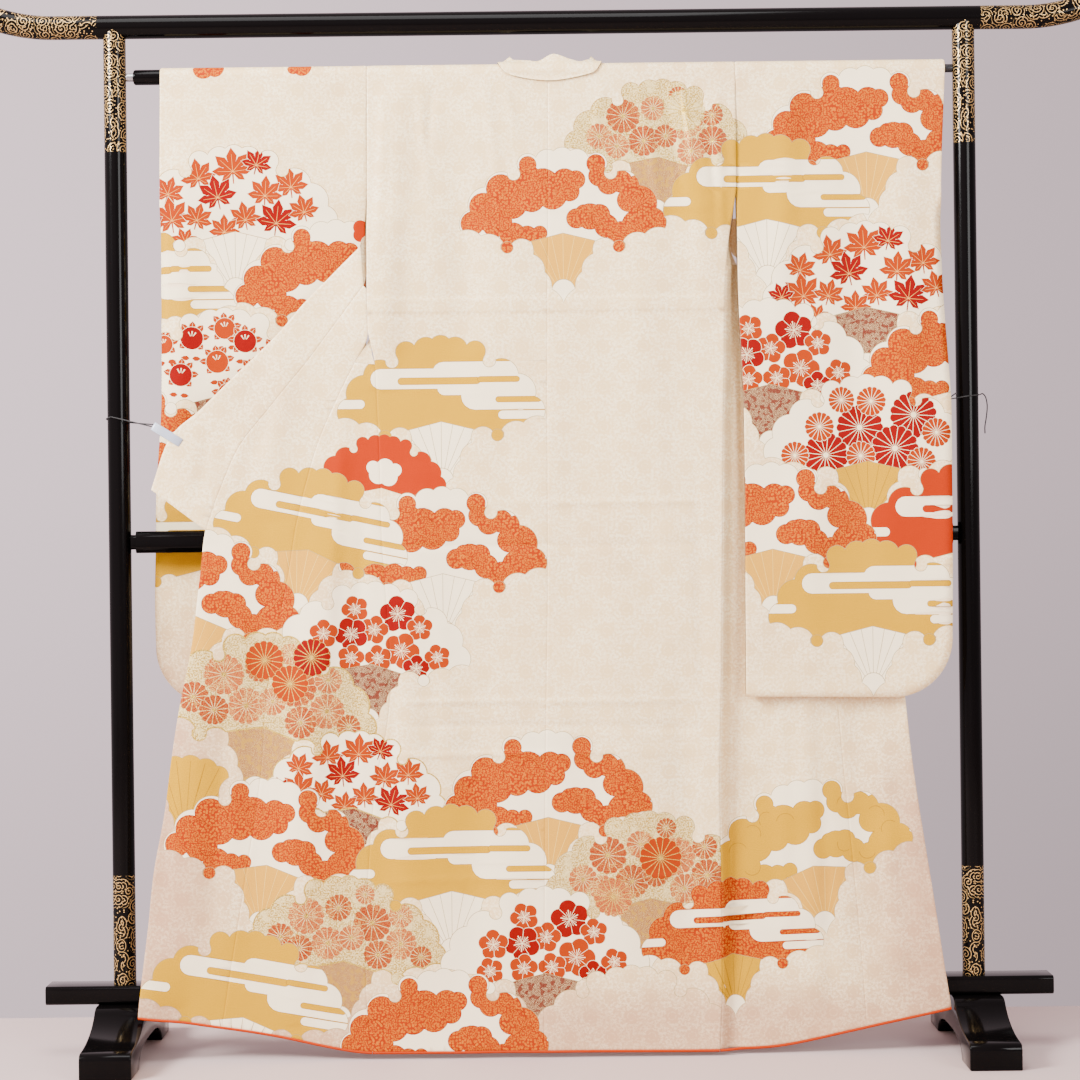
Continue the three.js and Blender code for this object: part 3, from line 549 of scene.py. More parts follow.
@dataclass
class Skin:
    """One side of a cloth: points of its middle, normals, flat places, triangles and dyes."""

    points: Array
    normals: Array
    flat: Array
    faces: Array
    dyes: Array

    def edge_loop(self) -> List[int]:
        """Returns the points along the skin's edge, in order."""
        nxt: Dict[int, int] = {}
        sides = np.vstack([self.faces[:, [0, 1]], self.faces[:, [1, 2]], self.faces[:, [2, 0]]])
        back = set(map(tuple, sides[:, ::-1].tolist()))
        for p, q in sides.tolist():
            if (p, q) not in back:
                nxt[p] = q
        start = next(iter(nxt))
        loop, here = [start], nxt[start]
        while here != start:
            loop.append(here)
            here = nxt[here]
        return loop


Surface = Callable[[Array, Array], Array]


def surface_normals(surface: Surface, x: Array, v: Array, outward: float = 1.0) -> Array:
    """Returns unit normals of a surface given over x and v.

    Args:
        surface: Gives points for x and v.
        x: Positions across.
        v: Positions along.
        outward: 1 or -1, which way the normals point.
    """
    step = 0.6
    across = surface(x + step, v) - surface(x - step, v)
    along = surface(x, v + step) - surface(x, v - step)
    normal = np.cross(across, along) * outward
    return normal / np.maximum(np.linalg.norm(normal, axis=1, keepdims=True), 1e-9)


@dataclass
class FlatCut:
    """A piece of silk laid flat: its outline and the pitch of its mesh."""

    outline: Array
    pitch: float = 9.0
    levels: Sequence[float] = ()
    insets: Sequence[float] = INSETS

    def inset(self, by: float) -> Array:
        """Returns a row of points a little inside the outline."""
        ring = counter_clockwise(self.outline)
        along = np.roll(ring, -1, axis=0) - np.roll(ring, 1, axis=0)
        inward = np.column_stack([-along[:, 1], along[:, 0]])
        inward /= np.maximum(np.linalg.norm(inward, axis=1, keepdims=True), 1e-9)
        row = ring + by * inward
        row = row[inside(row, self.outline)]
        return row[self.from_edge(row) > by * 0.8]

    def from_edge(self, points: Array) -> Array:
        """Returns each point's distance to the outline's corners."""
        near = np.full(len(points), 1e9)
        for start in range(0, len(self.outline), 64):
            part = self.outline[start:start + 64]
            square = (np.square(points[:, :1] - part[None, :, 0])
                      + np.square(points[:, 1:] - part[None, :, 1]))
            near = np.minimum(near, square.min(axis=1))
        return np.sqrt(near)

    def grid(self) -> Array:
        """Returns inner points in a staggered grid, with closer rows by the pressed levels."""
        low, high = self.outline.min(axis=0), self.outline.max(axis=0)
        rows = list(np.arange(low[1] + self.pitch * 0.6, high[1], self.pitch * 0.9))
        close = [level + k for level in self.levels for k in (-4, -2, 0, 2, 4)]
        rows = [z for z in rows if all(abs(z - level) > 7 for level in self.levels)] + close
        points = []
        for k, z in enumerate(sorted(rows)):
            shift = self.pitch / 2 if k % 2 else 0
            x = np.arange(low[0] + shift, high[0], self.pitch)
            points.append(np.column_stack([x, np.full(len(x), z)]))
        points = np.vstack(points)
        points = points[inside(points, self.outline)]
        points = points[self.from_edge(points) > 7.5]
        return np.vstack([points] + [self.inset(by) for by in self.insets])

    def triangulate(self, patches: Sequence[Patch], ground: str, dye_index: Callable[[str], int]) -> Skin:
        """Cuts the silk into triangles along the outlines of what is dyed on it.

        Args:
            patches: What is dyed on the silk, the lowest first.
            ground: The dye of the ground.
            dye_index: Gives a dye's material index.

        Returns:
            The flat skin, without points in space.
        """
        outline = counter_clockwise(self.outline)
        x0, z0 = outline.min(axis=0)
        x1, z1 = outline.max(axis=0)
        points = [outline, self.grid()]
        rings, dyes, place = [list(range(len(outline)))], [dye_index(ground)], {}
        total = len(outline) + len(points[1])
        clips: List[int] = [0]
        for patch in patches:
            left, right, low, high = patch.box()
            if right < x0 or left > x1 or high < z0 or low > z1:
                continue
            ring = counter_clockwise(patch.outline)
            place[id(patch)] = len(rings)
            rings.append(list(range(total, total + len(ring))))
            points.append(ring)
            total += len(ring)
            dyes.append(dye_index(patch.dye))
            clips.append(place.get(id(patch.within), -1) if patch.within else 0)
        flat = [Vector(p) for p in np.vstack(points).tolist()]
        made, _, triangles, _, _, origins = delaunay_2d_cdt(flat, [], rings, 0, 1e-4, True)
        kept, tints = [], []
        for triangle, origin in zip(triangles, origins):
            if 0 in origin:
                kept.append(triangle)
                tints.append(dyes[max(k for k in origin if clips[k] in origin)])
        flat = np.array([tuple(p) for p in made])
        return Skin(flat, flat, flat, np.array(kept, int), np.array(tints, int))

    def triangulate_edge(self, edge: Array) -> Tuple[Array, Array, List[int]]:
        """Cuts the lining into triangles that meet an edge's points one by one.

        Args:
            edge: The silk's edge, in order.

        Returns:
            Flat points, triangles and where each of the edge's points is among the points.
        """
        coarse = FlatCut(self.outline, self.pitch, (), self.insets[2:]).grid()
        flat = [Vector(p) for p in np.vstack([edge, coarse]).tolist()]
        ring = [list(range(len(edge)))]
        made, _, triangles, kept_as, _, origins = delaunay_2d_cdt(flat, [], ring, 0, 1e-6, True)
        at = {old: new for new, olds in enumerate(kept_as) for old in olds}
        faces = [triangle for triangle, origin in zip(triangles, origins) if 0 in origin]
        return np.array([tuple(p) for p in made]), np.array(faces, int), [at[k] for k in range(len(edge))]


# ----------------------------------------------------------------------------- what is dyed on the silk
Bulged = Tuple[float, float, float]


def scalloped(points: Sequence[Bulged], fine: float = 5.0) -> Array:
    """Draws a closed outline of arcs.

    Args:
        points: Corners as x, z and the bulge of the arc to the next corner: its height over
            its chord, to the left of the way that it runs.
        fine: The longest straight stretch on an arc, in millimetres.
    """
    made: List[Array] = []
    for (x0, z0, bulge), (x1, z1, _) in zip(points, list(points[1:]) + [points[0]]):
        a, b = np.array([x0, z0]), np.array([x1, z1])
        chord = b - a
        long = float(np.linalg.norm(chord))
        count = max(1, int(math.ceil(long * (1 + abs(bulge)) / fine)))
        if abs(bulge) < 0.01:
            made += [a + chord * k / count for k in range(count)]
            continue
        half = 2 * math.atan(2 * abs(bulge))
        count = max(4, count)
        radius = long / 2 / math.sin(half)
        side = np.array([-chord[1], chord[0]]) / long * math.copysign(1, bulge)
        centre = (a + b) / 2 - side * radius * math.cos(half)
        for k in range(count):
            angle = -half + 2 * half * k / count
            made.append(centre + side * radius * math.cos(angle) + chord / long * radius * math.sin(angle))
    return np.array(made)


def mirrored(points: Sequence[Bulged]) -> List[Bulged]:
    """Returns a run of arcs followed by its mirror image, from left to right."""
    bulges = [bulge for _, _, bulge in points]
    back = [(-x, z) for x, z, _ in points[::-1]]
    turned = [(x, z, bulges[-k - 2] if k < len(back) - 1 else 0.0) for k, (x, z) in enumerate(back)]
    return list(points) + turned


def grown(outline: Array, by: float) -> Array:
    """Returns an outline a little larger all round."""
    ring = counter_clockwise(outline)
    before, after = ring - np.roll(ring, 1, axis=0), np.roll(ring, -1, axis=0) - ring
    out = np.zeros_like(ring)
    for edge in (before, after):
        side = np.column_stack([edge[:, 1], -edge[:, 0]])
        out += side / np.maximum(np.linalg.norm(side, axis=1, keepdims=True), 1e-9)
    size = np.maximum(np.linalg.norm(out, axis=1, keepdims=True), 0.9)
    return ring + out / size * by


def disc(x: float, z: float, radius: float, sides: int = 22) -> Array:
    """Returns a circle as an outline."""
    turn = np.linspace(0, 2 * math.pi, sides, endpoint=False)
    return np.column_stack([x + radius * np.cos(turn), z + radius * np.sin(turn)])


def stroke(x0: float, z0: float, x1: float, z1: float, wide: float, tip: float = 1.0) -> Array:
    """Returns a thin line as an outline; tip is its width at the far end as a share."""
    a, b = np.array([x0, z0]), np.array([x1, z1])
    along = (b - a) / max(float(np.linalg.norm(b - a)), 1e-9)
    side = np.array([-along[1], along[0]]) * wide / 2
    return np.array([a - side, b - side * tip, b + side * tip, a + side])


def ray(turn: float, start: float, end: float, wide: float, tip: float = 1.0) -> Array:
    """Returns a thin line that runs outward at an angle, from one distance to another."""
    c, s = math.cos(turn), math.sin(turn)
    return stroke(start * c, start * s, end * c, end * s, wide, tip)


def petalled(turns: Sequence[float], reach: float, bulge: float, fine: float) -> Array:
    """Returns a flower of round petals that meet at some angles, at a reach from its middle."""
    return scalloped([(reach * math.cos(turn), reach * math.sin(turn), bulge) for turn in turns], fine)


def bar(x0: float, x1: float, z: float, thick: float) -> Array:
    """Returns a level bar with round ends as an outline."""
    r = thick / 2
    turn = np.radians(np.linspace(-90, 90, 9))
    right = np.column_stack([x1 - r + r * np.cos(turn), z + r * np.sin(turn)])
    left = np.column_stack([x0 + r - r * np.cos(turn), z - r * np.sin(turn)])
    return np.vstack([right, left])


@dataclass(frozen=True)
class Spot:
    """Where a motif is dyed: its middle, its turn in degrees and its size."""

    x: float
    z: float
    turn: float = 0.0
    size: float = 1.0

    def put(self, outline: Array) -> Array:
        """Returns an outline moved from the motif's own place onto the cloth."""
        c, s = math.cos(math.radians(self.turn)), math.sin(math.radians(self.turn))
        x, z = outline[:, 0] * self.size, outline[:, 1] * self.size
        return np.column_stack([self.x + x * c - z * s, self.z + x * s + z * c])


@dataclass
class Motif:
    """Anything dyed on the silk: it lists its patches, the lowest first."""

    spot: Spot
    within: Optional[Patch] = None

    def patch(self, dye: str, outline: Array) -> Patch:
        """Returns one patch of the motif, placed on the cloth."""
        return Patch(dye, self.spot.put(outline), self.within)


@dataclass
class Maple(Motif):
    """A maple leaf of seven pointed lobes with pale veins."""

    dye: str = "orange"
    radius: float = 24.0
    reaches: Tuple[float, ...] = (1.0, 0.96, 0.86, 0.6)
    angles: Tuple[float, ...] = (90.0, 46.0, 4.0, -38.0)

    def patches(self) -> List[Patch]:
        """Returns the leaf and its veins."""
        lobes = [(180 - a, r) for a, r in zip(self.angles[:0:-1], self.reaches[:0:-1])]
        lobes += list(zip(self.angles, self.reaches))
        outline = []
        for k, (angle, reach) in enumerate(lobes):
            turn, r = math.radians(angle), self.radius * reach
            for side, out in ((1, 0.45), (1, 0.68), (0, 1.0), (-1, 0.68), (-1, 0.45)):
                wide = math.radians(side * (19 if out > 0.5 else 23))
                outline.append((r * out * math.cos(turn + wide), r * out * math.sin(turn + wide)))
        stem = self.radius * 0.5
        outline += [(1.4, -4), (0.9, -stem), (-0.9, -stem), (-1.4, -4)]
        leaf = np.array(outline)
        made = [self.patch("paste", grown(leaf, 0.8)), self.patch(self.dye, leaf)]
        for angle, reach in lobes:
            vein = ray(math.radians(angle), 0, self.radius * reach * 0.72, 0.9, 0.5)
            made.append(self.patch("vein", vein))
        return made


@dataclass
class Plum(Motif):
    """A plum blossom of five round petals with pale stamens."""

    dye: str = "orange"
    radius: float = 22.0
    petals: int = 5

    def patches(self) -> List[Patch]:
        """Returns the petals, the lines between them and the stamens."""
        r, n = self.radius, self.petals
        flower = petalled([math.radians(90 + 360 * (k - 0.5) / n) for k in range(n)], 0.74 * r, -0.42, 4)
        made = [self.patch("paste", grown(flower, 0.8)), self.patch(self.dye, flower)]
        for k in range(n):
            lines = [ray(math.radians(90 + 360 * (k + 0.5) / n), 0.2 * r, 0.72 * r, 0.8),
                     ray(math.radians(90 + 360 * k / n), 0.1 * r, 0.46 * r, 0.8, 2.2)]
            lines += [ray(math.radians(90 + 360 * k / n + lean), 0, 0.38 * r, 0.7) for lean in (-17, 17)]
            made += [self.patch("paste", line) for line in lines]
        return made


@dataclass
class Mum(Motif):
    """A chrysanthemum of many narrow petals with lines between them."""

    dye: str = "red"
    radius: float = 32.0
    petals: int = 16
    line: str = "paste"
    heart: str = "paste"
    lines: float = 0.9

    def patches(self) -> List[Patch]:
        """Returns the flower, the lines between its petals and its heart."""
        r, n = self.radius, self.petals
        turns = [2 * math.pi * (k + 0.5) / n for k in range(n)]
        flower = petalled(turns, 0.94 * r, -0.34, 6)
        made = [self.patch(self.line, grown(flower, 0.8)), self.patch(self.dye, flower)]
        made += [self.patch(self.line, ray(turn, 0.14 * r, 0.93 * r, self.lines)) for turn in turns]
        made.append(self.patch(self.heart, disc(0, 0, 0.13 * r, 12)))
        return made


@dataclass
class Citrus(Motif):
    """A tachibana: a round fruit between leaves, with a pair of loose leaves beside it."""

    dye: str = "red"
    radius: float = 16.0

    def leaf(self, angle: float, start: float, long: float, wide: float) -> Array:
        """Returns one pointed leaf that starts some way from the middle."""
        c, s = math.cos(math.radians(angle)), math.sin(math.radians(angle))
        shape = np.array([(0, 0), (0.3, -0.5), (0.65, -0.45), (1, 0), (0.65, 0.45), (0.3, 0.5)])
        x, z = start + shape[:, 0] * long, shape[:, 1] * wide
        return np.column_stack([x * c - z * s, x * s + z * c])

    def patches(self) -> List[Patch]:
        """Returns the leaves and the fruit with its pale strokes."""
        r, made = self.radius, []
        for angle, long in ((90, 14), (52, 15), (128, 15), (8, 16), (172, 16), (-42, 12), (222, 12)):
            leaf = self.leaf(angle, 0.75 * r, long, 11)
            vein = ray(math.radians(angle), 0.8 * r, 0.75 * r + 0.8 * long, 0.7, 0.5)
            made += [self.patch("paste", grown(leaf, 0.7)), self.patch("orange", leaf)]
            made.append(self.patch("paste", vein))
        made += [self.patch("paste", disc(0, 0, r + 0.8)), self.patch(self.dye, disc(0, 0, r))]
        for lean in (-32, 0, 32):
            c, s = r * math.sin(math.radians(lean)), r * math.cos(math.radians(lean))
            made.append(self.patch("paste", stroke(0.2 * c, 0.2 * s, 0.62 * c, 0.62 * s, 0.9, 2.4)))
        for x in (-9, 9):
            loose = self.leaf(0 if x > 0 else 180, 2, 15, 8)
            made.append(self.patch("orange", loose + np.array([0, -r - 15])))
        return made


@dataclass
class Fan(Motif):
    """A scalloped fan on a narrow foot, with ribs."""

    dye: str = "peach"
    rib: str = "peach_line"
    ribs: int = 8
    spread: float = 66.0
    pivot: float = -112.0
    half_outline: Tuple[Bulged, ...] = (
        (-20, -100, -0.15), (-31, -72, -0.18), (-50, -42, -0.16), (-64, -10, 0.24), (-43, 8, 0.22),
        (-15, 17, 0.22),
    )

    def outline(self) -> Array:
        """Returns the fan's outline."""
        run = mirrored(self.half_outline)
        run[-1] = (run[-1][0], run[-1][1], -0.4)
        return scalloped(run)

    def patches(self) -> List[Patch]:
        """Returns the fan, its ribs and the white cap at its foot."""
        shape = self.outline()
        body = self.patch(self.dye, shape)
        made = [self.patch("field_line", grown(shape, 0.8)), body]
        held = Motif(self.spot, body)
        for k in range(self.ribs - 1):
            turn = math.radians(90 + self.spread * (k / (self.ribs - 2) - 0.5))
            c, s = math.cos(turn), math.sin(turn)
            near, far = (14 * c, self.pivot + 14 * s), (126 * c, self.pivot + 126 * s)
            made.append(held.patch(self.rib, stroke(*near, *far, 0.8)))
        foot = scalloped([(-19, -101, 0.42), (19, -101, -0.1), (0, -124, -0.1)])
        made += [self.patch("field_line", grown(foot, 0.7)), self.patch("field", foot)]
        return made


class Fill(Enum):
    """What fills the great scalloped clouds."""

    CLOUDS = "clouds"
    MIST = "mist"
    MAPLES = "maples"
    PLUMS = "plums"
    MUMS = "mums"
    CITRUS = "citrus"
    BROCADE = "brocade"
    HOLLOW = "hollow"
    BARE = "bare"


Row = Tuple[float, ...]
SPRAYS: Dict[Fill, Tuple[Callable[..., Motif], str, float]] = {
    Fill.MAPLES: (Maple, "leaves", 1.42), Fill.PLUMS: (Plum, "blossoms", 1.2),
    Fill.MUMS: (Mum, "flowers", 1.18), Fill.CITRUS: (Citrus, "fruits", 1.12),
}


@dataclass
class CloudBank(Motif):
    """A great scalloped cloud, pointed left and right, with a fan under its middle."""

    fill: Fill = Fill.CLOUDS
    dye: str = "kanoko"
    fan: str = "peach"
    line: str = "field_line"
    seed: int = 0
    crest: Tuple[Bulged, ...] = (
        (-172, 0, 0.22), (-158, 34, 0.24), (-130, 73, 0.24), (-93, 97, -0.72), (-72, 101, 0.5),
        (-44, 122, 0.24), (-14, 133, 0.22),
    )
    keel: Tuple[Bulged, ...] = (
        (172, 0, -0.16), (138, -9, -0.2), (101, -21, 1.15), (87, -24, -0.22), (56, -20, 0.0), (0, -6, 0.0),
    )
    end: Row = (94, -30, 9.8)
    hole: Tuple[Row, ...] = ((-10, 30, 26), (18, 24, 24), (6, 50, 24), (34, 44, 18), (-26, 48, 18))
    west: Tuple[Row, ...] = (
        (-152, 12, 18), (-134, 40, 21), (-112, 15, 24), (-84, -10, 20), (-104, 70, 22), (-86, 45, 24),
        (-58, 82, 24), (-58, 110, 13), (-52, 52, 20), (-33, 76, 25), (-17, 58, 22), (4, 82, 19),
        (23, 84, 14), (12, 64, 15), (-60, -9, 14), (-39, -6, 11), (-92, -26, 17),
    )
    east: Tuple[Row, ...] = (
        (57, 111, 14), (62, 90, 16), (78, 77, 17), (99, 80, 17), (112, 48, 18), (126, 70, 18),
        (140, 47, 20), (148, 21, 21), (158, 3, 18), (126, 5, 24), (99, -11, 21), (89, -26, 14),
        (73, 5, 18), (62, 24, 16), (46, 21, 20), (36, 27, 13), (23, 18, 15),
    )
    curls: Tuple[Row, ...] = (
        (-118, 40, 16, 20), (-88, 66, 14, -30), (-60, 84, 13, 60), (-100, 12, 14, 200), (-30, 74, 15, 10),
        (74, 84, 13, 20), (122, 56, 14, -20), (140, 28, 14, 40), (96, 0, 14, 180), (60, 18, 12, 150),
    )
    bars: Tuple[Row, ...] = (
        (-118, 52, 66, 34), (-14, 210, 76, 36), (34, 210, 36, 46), (-6, 120, 50, 24), (-210, -128, 24, 15),
        (96, 210, 4, 14),
    )
    streaks: Tuple[Row, ...] = (
        (-72, 66, 62, 11), (62, 132, 64, 9), (92, 168, 30, 9),
    )
    leaves: Tuple[Row, ...] = (
        (-2, 94, 29, 4, 0), (38, 104, 22, -14, 1), (-60, 82, 25, 10, 0), (96, 66, 25, 6, 0),
        (-112, 56, 23, -18, 0), (-28, 50, 28, 12, 1), (52, 52, 25, -4, 0), (-106, 12, 29, 8, 0),
        (-143, 10, 19, 20, 1), (-64, 12, 22, -16, 0), (18, 12, 23, 10, 0), (70, 6, 29, -8, 1),
        (118, 24, 22, 14, 0), (-84, -24, 18, 22, 0), (-18, -8, 22, 0, 0),
    )
    blossoms: Tuple[Row, ...] = (
        (42, 84, 28, 10, 1), (-34, 88, 21, 24, 0), (2, 54, 22, -12, 0), (82, 62, 20, 6, 0),
        (-38, 44, 26, 30, 1), (52, 20, 28, -20, 0), (12, 4, 21, 14, 0), (80, -10, 21, 0, 1),
        (-36, 2, 21, -8, 0), (116, 12, 20, 18, 0), (-86, 42, 22, 4, 0), (-92, -2, 20, 20, 0),
    )
    flowers: Tuple[Row, ...] = (
        (-12, 50, 32, 0, 1), (78, 70, 32, 8, 1), (-70, 4, 31, 4, 1), (46, 14, 32, 2, 1),
        (-80, 52, 20, 0, 0), (8, 94, 20, 6, 0), (-42, 97, 18, 0, 0), (116, 40, 20, 3, 0),
        (-122, 4, 19, 0, 0), (-11, 2, 20, 8, 0), (90, -9, 20, 0, 0),
    )
    fruits: Tuple[Row, ...] = (
        (0, 104, 16, 4, 0), (-56, 88, 17, -4, 1), (34, 82, 17, 0, 1), (-14, 48, 17, 6, 0),
        (-76, 26, 17, -6, 1), (48, 28, 16, 0, 1), (-104, 78, 14, 8, 0), (84, 62, 15, -8, 0),
        (4, -6, 16, 0, 0),
    )
    stitched: Tuple[Row, ...] = (
        (44, 62, 31, 0, 0), (-70, 66, 30, 8, 1), (-16, 84, 22, 0, 1), (96, 30, 26, 4, 1),
        (-112, 26, 23, 0, 1), (-30, 22, 27, 6, 1), (58, 8, 24, 0, 1), (10, 34, 21, 3, 1),
        (-78, 10, 22, 0, 1), (92, 78, 20, 0, 1), (132, 10, 18, 0, 1), (28, 110, 16, 0, 1),
    )

    def outline(self) -> Array:
        """Returns the cloud bank's outline."""
        top = mirrored(self.crest)
        top[len(self.crest) - 1] = (-14, 133, 0.22)
        top = top[:-1]
        under = list(self.keel) + [(-x, z, 0.0) for x, z, _ in self.keel[-2:0:-1]]
        bulges = [bulge for _, _, bulge in self.keel[:-1]]
        under = [(x, z, (bulges + bulges[::-1])[k]) for k, (x, z, _) in enumerate(under)]
        return scalloped(top + under)

    def at(self, row: Row) -> Spot:
        """Returns the place on the cloth of something within the bank."""
        spot = self.spot.put(np.array([[row[0], row[1]]]))[0]
        turn = row[3] if len(row) > 3 else 0.0
        return Spot(float(spot[0]), float(spot[1]), self.spot.turn + turn, self.spot.size)

    def clouds(self, held: Motif) -> List[Patch]:
        """Returns the two curling clouds, lobe by lobe, each lobe with its line."""
        lobes = self.west + self.east
        made = [held.patch(f"{self.dye}_line", disc(x, z, 1.1 * r + 0.8)) for x, z, r in lobes]
        made += [held.patch(self.dye, disc(x, z, 1.1 * r)) for x, z, r in lobes]
        for x, z, r, start in self.curls:
            turn = np.radians(np.linspace(start, start + 150, 10))
            ring = np.column_stack([np.cos(turn), np.sin(turn)])
            arc = np.vstack([(r + 0.5) * ring, ((r - 0.4) * ring)[::-1]]) + np.array([x, z])
            made.append(held.patch(f"{self.dye}_line", arc))
        return made

    def mist(self, held: Motif) -> List[Patch]:
        """Returns the white bars of mist that cross the bank."""
        made = [held.patch(f"{self.dye}_line", grown(bar(*row), 0.7)) for row in self.bars]
        made += [held.patch("field", bar(*row)) for row in self.bars]
        for row in self.streaks:
            made.append(held.patch(f"{self.dye}_line", grown(bar(*row), 0.7)))
            made.append(held.patch(self.dye, bar(*row)))
        return made

    def patches(self) -> List[Patch]:
        """Returns the bank, what fills it and its fan."""
        shape = self.outline()
        whole = (Fill.MIST, Fill.HOLLOW, Fill.BARE, Fill.BROCADE)
        body = self.patch(self.dye if self.fill in whole else "field", shape)
        made: List[Patch] = []
        if self.fan in FAN_KINDS:
            made += Fan(self.spot, self.within, *FAN_KINDS[self.fan]).patches()
        wide = 2.6 if self.line == "gold_thread" else 0.9
        made += [self.patch(self.line, grown(shape, wide)), body]
        held = Motif(self.spot, body)
        if self.fill is Fill.CLOUDS:
            made += self.clouds(held)
        elif self.fill is Fill.MIST:
            made += self.mist(held)
        elif self.fill is Fill.HOLLOW:
            made += [held.patch(f"{self.dye}_line", disc(x, z, r + 0.9)) for x, z, r in self.hole]
            made += [held.patch("field", disc(x, z, r)) for x, z, r in self.hole]
        elif self.fill in SPRAYS:
            motif, rows, larger = SPRAYS[self.fill]
            for row in getattr(self, rows):
                dye = ("orange", "red")[int(row[4])]
                made += motif(self.at(row), body, dye, larger * row[2]).patches()
        elif self.fill is Fill.BROCADE:
            for k, row in enumerate(self.stitched):
                dye = "brocade_rust" if (k + self.seed) % 2 else "brocade_rose"
                made += Mum(self.at(row), body, dye, row[2], 14, "brocade", "gold_thread", 1.1).patches()
        end_dye = self.dye if self.fill is Fill.CLOUDS else body.dye
        x, z, r = self.end
        for side in (-1, 1):
            made.append(self.patch(self.line, disc(side * x, z, r + 0.8)))
            made.append(self.patch(end_dye, disc(side * x, z, r)))
        return made


FAN_KINDS: Dict[str, Tuple[str, str]] = {
    "peach": ("peach", "peach_line"), "white": ("field", "field_line"), "gold": ("gold", "gold_line"),
    "speckled": ("speckled", "speckled"), "gilded": ("brocade_speckled", "brocade_speckled"),
}


# ----------------------------------------------------------------------------- where the motifs lie
USUAL_BANKS: Dict[Fill, Tuple[str, str]] = {
    Fill.CLOUDS: ("kanoko", "peach"), Fill.MIST: ("gold", "white"), Fill.MAPLES: ("field", "speckled"),
    Fill.PLUMS: ("field", "speckled"), Fill.MUMS: ("field", "gold"), Fill.CITRUS: ("field", "speckled"),
    Fill.BROCADE: ("brocade", "gilded"), Fill.HOLLOW: ("vermilion", "bare"), Fill.BARE: ("silk", "bare"),
}


def bank(fill: Fill, x: float, z: float, turn: float = 0.0, size: float = 1.0, dye: str = "",
         fan: str = "", line: str = "field_line", seed: int = 0) -> CloudBank:
    """Makes a cloud bank, with the dye and the fan that are usual for what fills it.

    Args:
        fill: What fills it.
        x: The place of its middle, across.
        z: The place of its middle, upwards.
        turn: Its turn, in degrees.
        size: Its size as a share of the full one.
        dye: Its dye, where it isn't the usual one.
        fan: Its fan, where it isn't the usual one, or bare for none.
        line: The dye of its edge.
        seed: Which of its stitched flowers come in which dye.

    Returns:
        The bank.
    """
    usual_dye, usual_fan = USUAL_BANKS[fill]
    return CloudBank(Spot(x, z, turn, size), None, fill, dye or usual_dye, fan or usual_fan, line, seed)


BODY_BANKS: Sequence[CloudBank] = (
    bank(Fill.BROCADE, 201, 1515, -4, 0.92, line="gold_line"),
    bank(Fill.CLOUDS, 37, 1389),
    bank(Fill.MIST, 381, 1409),
    bank(Fill.MIST, -171, 1073),
    bank(Fill.HOLLOW, -272, 960, -4, 0.62),
    bank(Fill.CLOUDS, -171, 818, fan="white"),
    bank(Fill.MIST, -394, 860, -12, 0.95, fan="peach"),
    bank(Fill.CLOUDS, -584, 752, -10),
    bank(Fill.PLUMS, -292, 668, -4, 0.95),
    bank(Fill.BROCADE, -474, 566, -8, 1.08, line="gold_thread", seed=1),
    bank(Fill.MAPLES, -323, 428, -7, 0.88, line="gold_thread"),
    bank(Fill.CLOUDS, 1, 409),
    bank(Fill.CLOUDS, -470, 334, -7),
    bank(Fill.MIST, -162, 287),
    bank(Fill.BROCADE, 170, 272, seed=2),
    bank(Fill.BROCADE, -343, 173, -5, 0.97, line="gold_thread", seed=3),
    bank(Fill.MIST, -512, 80, -10),
    bank(Fill.PLUMS, -7, 148),
    bank(Fill.MIST, 308, 174, 2, 0.88, dye="kanoko", fan="gold"),
    bank(Fill.BARE, 137, 15),
    bank(Fill.CLOUDS, -177, 12),
)
RIGHT_FRONT_BANKS: Sequence[CloudBank] = (
    bank(Fill.CLOUDS, 443, 320, 11, dye="gold"),
    bank(Fill.MIST, 308, 174, 2, 0.88, dye="kanoko", fan="gold"),
)
RIGHT_SLEEVE_BANKS: Sequence[CloudBank] = (
    bank(Fill.BROCADE, 201, 1515, -4, 0.92, line="gold_line"),
    bank(Fill.CLOUDS, 551, 1522),
    bank(Fill.MIST, 381, 1409),
    bank(Fill.MAPLES, 547, 1259),
    bank(Fill.PLUMS, 382, 1130),
    bank(Fill.CLOUDS, 710, 1120, fan="bare"),
    bank(Fill.MUMS, 544, 999),
    bank(Fill.MIST, 707, 849, dye="vermilion", fan="bare"),
    bank(Fill.CLOUDS, 382, 853),
    bank(Fill.MIST, 548, 722),
)
LEFT_SLEEVE_BANKS: Sequence[CloudBank] = (
    bank(Fill.MIST, -691, 1268, fan="bare"),
    bank(Fill.MAPLES, -518, 1401, fan="white", line="gold_line"),
    bank(Fill.CLOUDS, -347, 1273),
    bank(Fill.CITRUS, -538, 1127),
    bank(Fill.CLOUDS, -714, 998),
    bank(Fill.MIST, -579, 829, 0, 0.9, fan="bare"),
)


StitchedRow = Tuple[float, float, float, str, str]
BODY_STITCHED: Tuple[StitchedRow, ...] = (
    (-471, 670, 31, "orange", "gold_thread"), (-391, 674, 30, "red", "gold_thread"),
    (-428, 630, 30, "orange", "gold_thread"), (188, 332, 34, "orange", "gold_thread"),
    (108, 268, 31, "brocade_rose", "gold_thread"), (244, 1588, 34, "brocade", "gold_thread"),
)


def stitched(rows: Sequence[StitchedRow]) -> List[Patch]:
    """Returns the patches of flowers whose petals are edged with couched gold."""
    made: List[Patch] = []
    for x, z, radius, dye, line in rows:
        made += Mum(Spot(x, z, 3), None, dye, radius, 16, line, line, 1.3).patches()
    return made


def glimpses() -> List[Patch]:
    """Returns what shows of motifs that run off the left sleeve."""
    bits = ((-568, 1670, 18), (-548, 1670, 15), (-401, 1671, 16), (-416, 1668, 10))
    made = [Patch("kanoko", disc(x, z, r)) for x, z, r in bits]
    return made + [Patch("vermilion", disc(-306, z, r)) for z, r in ((1399, 12), (1386, 12))]


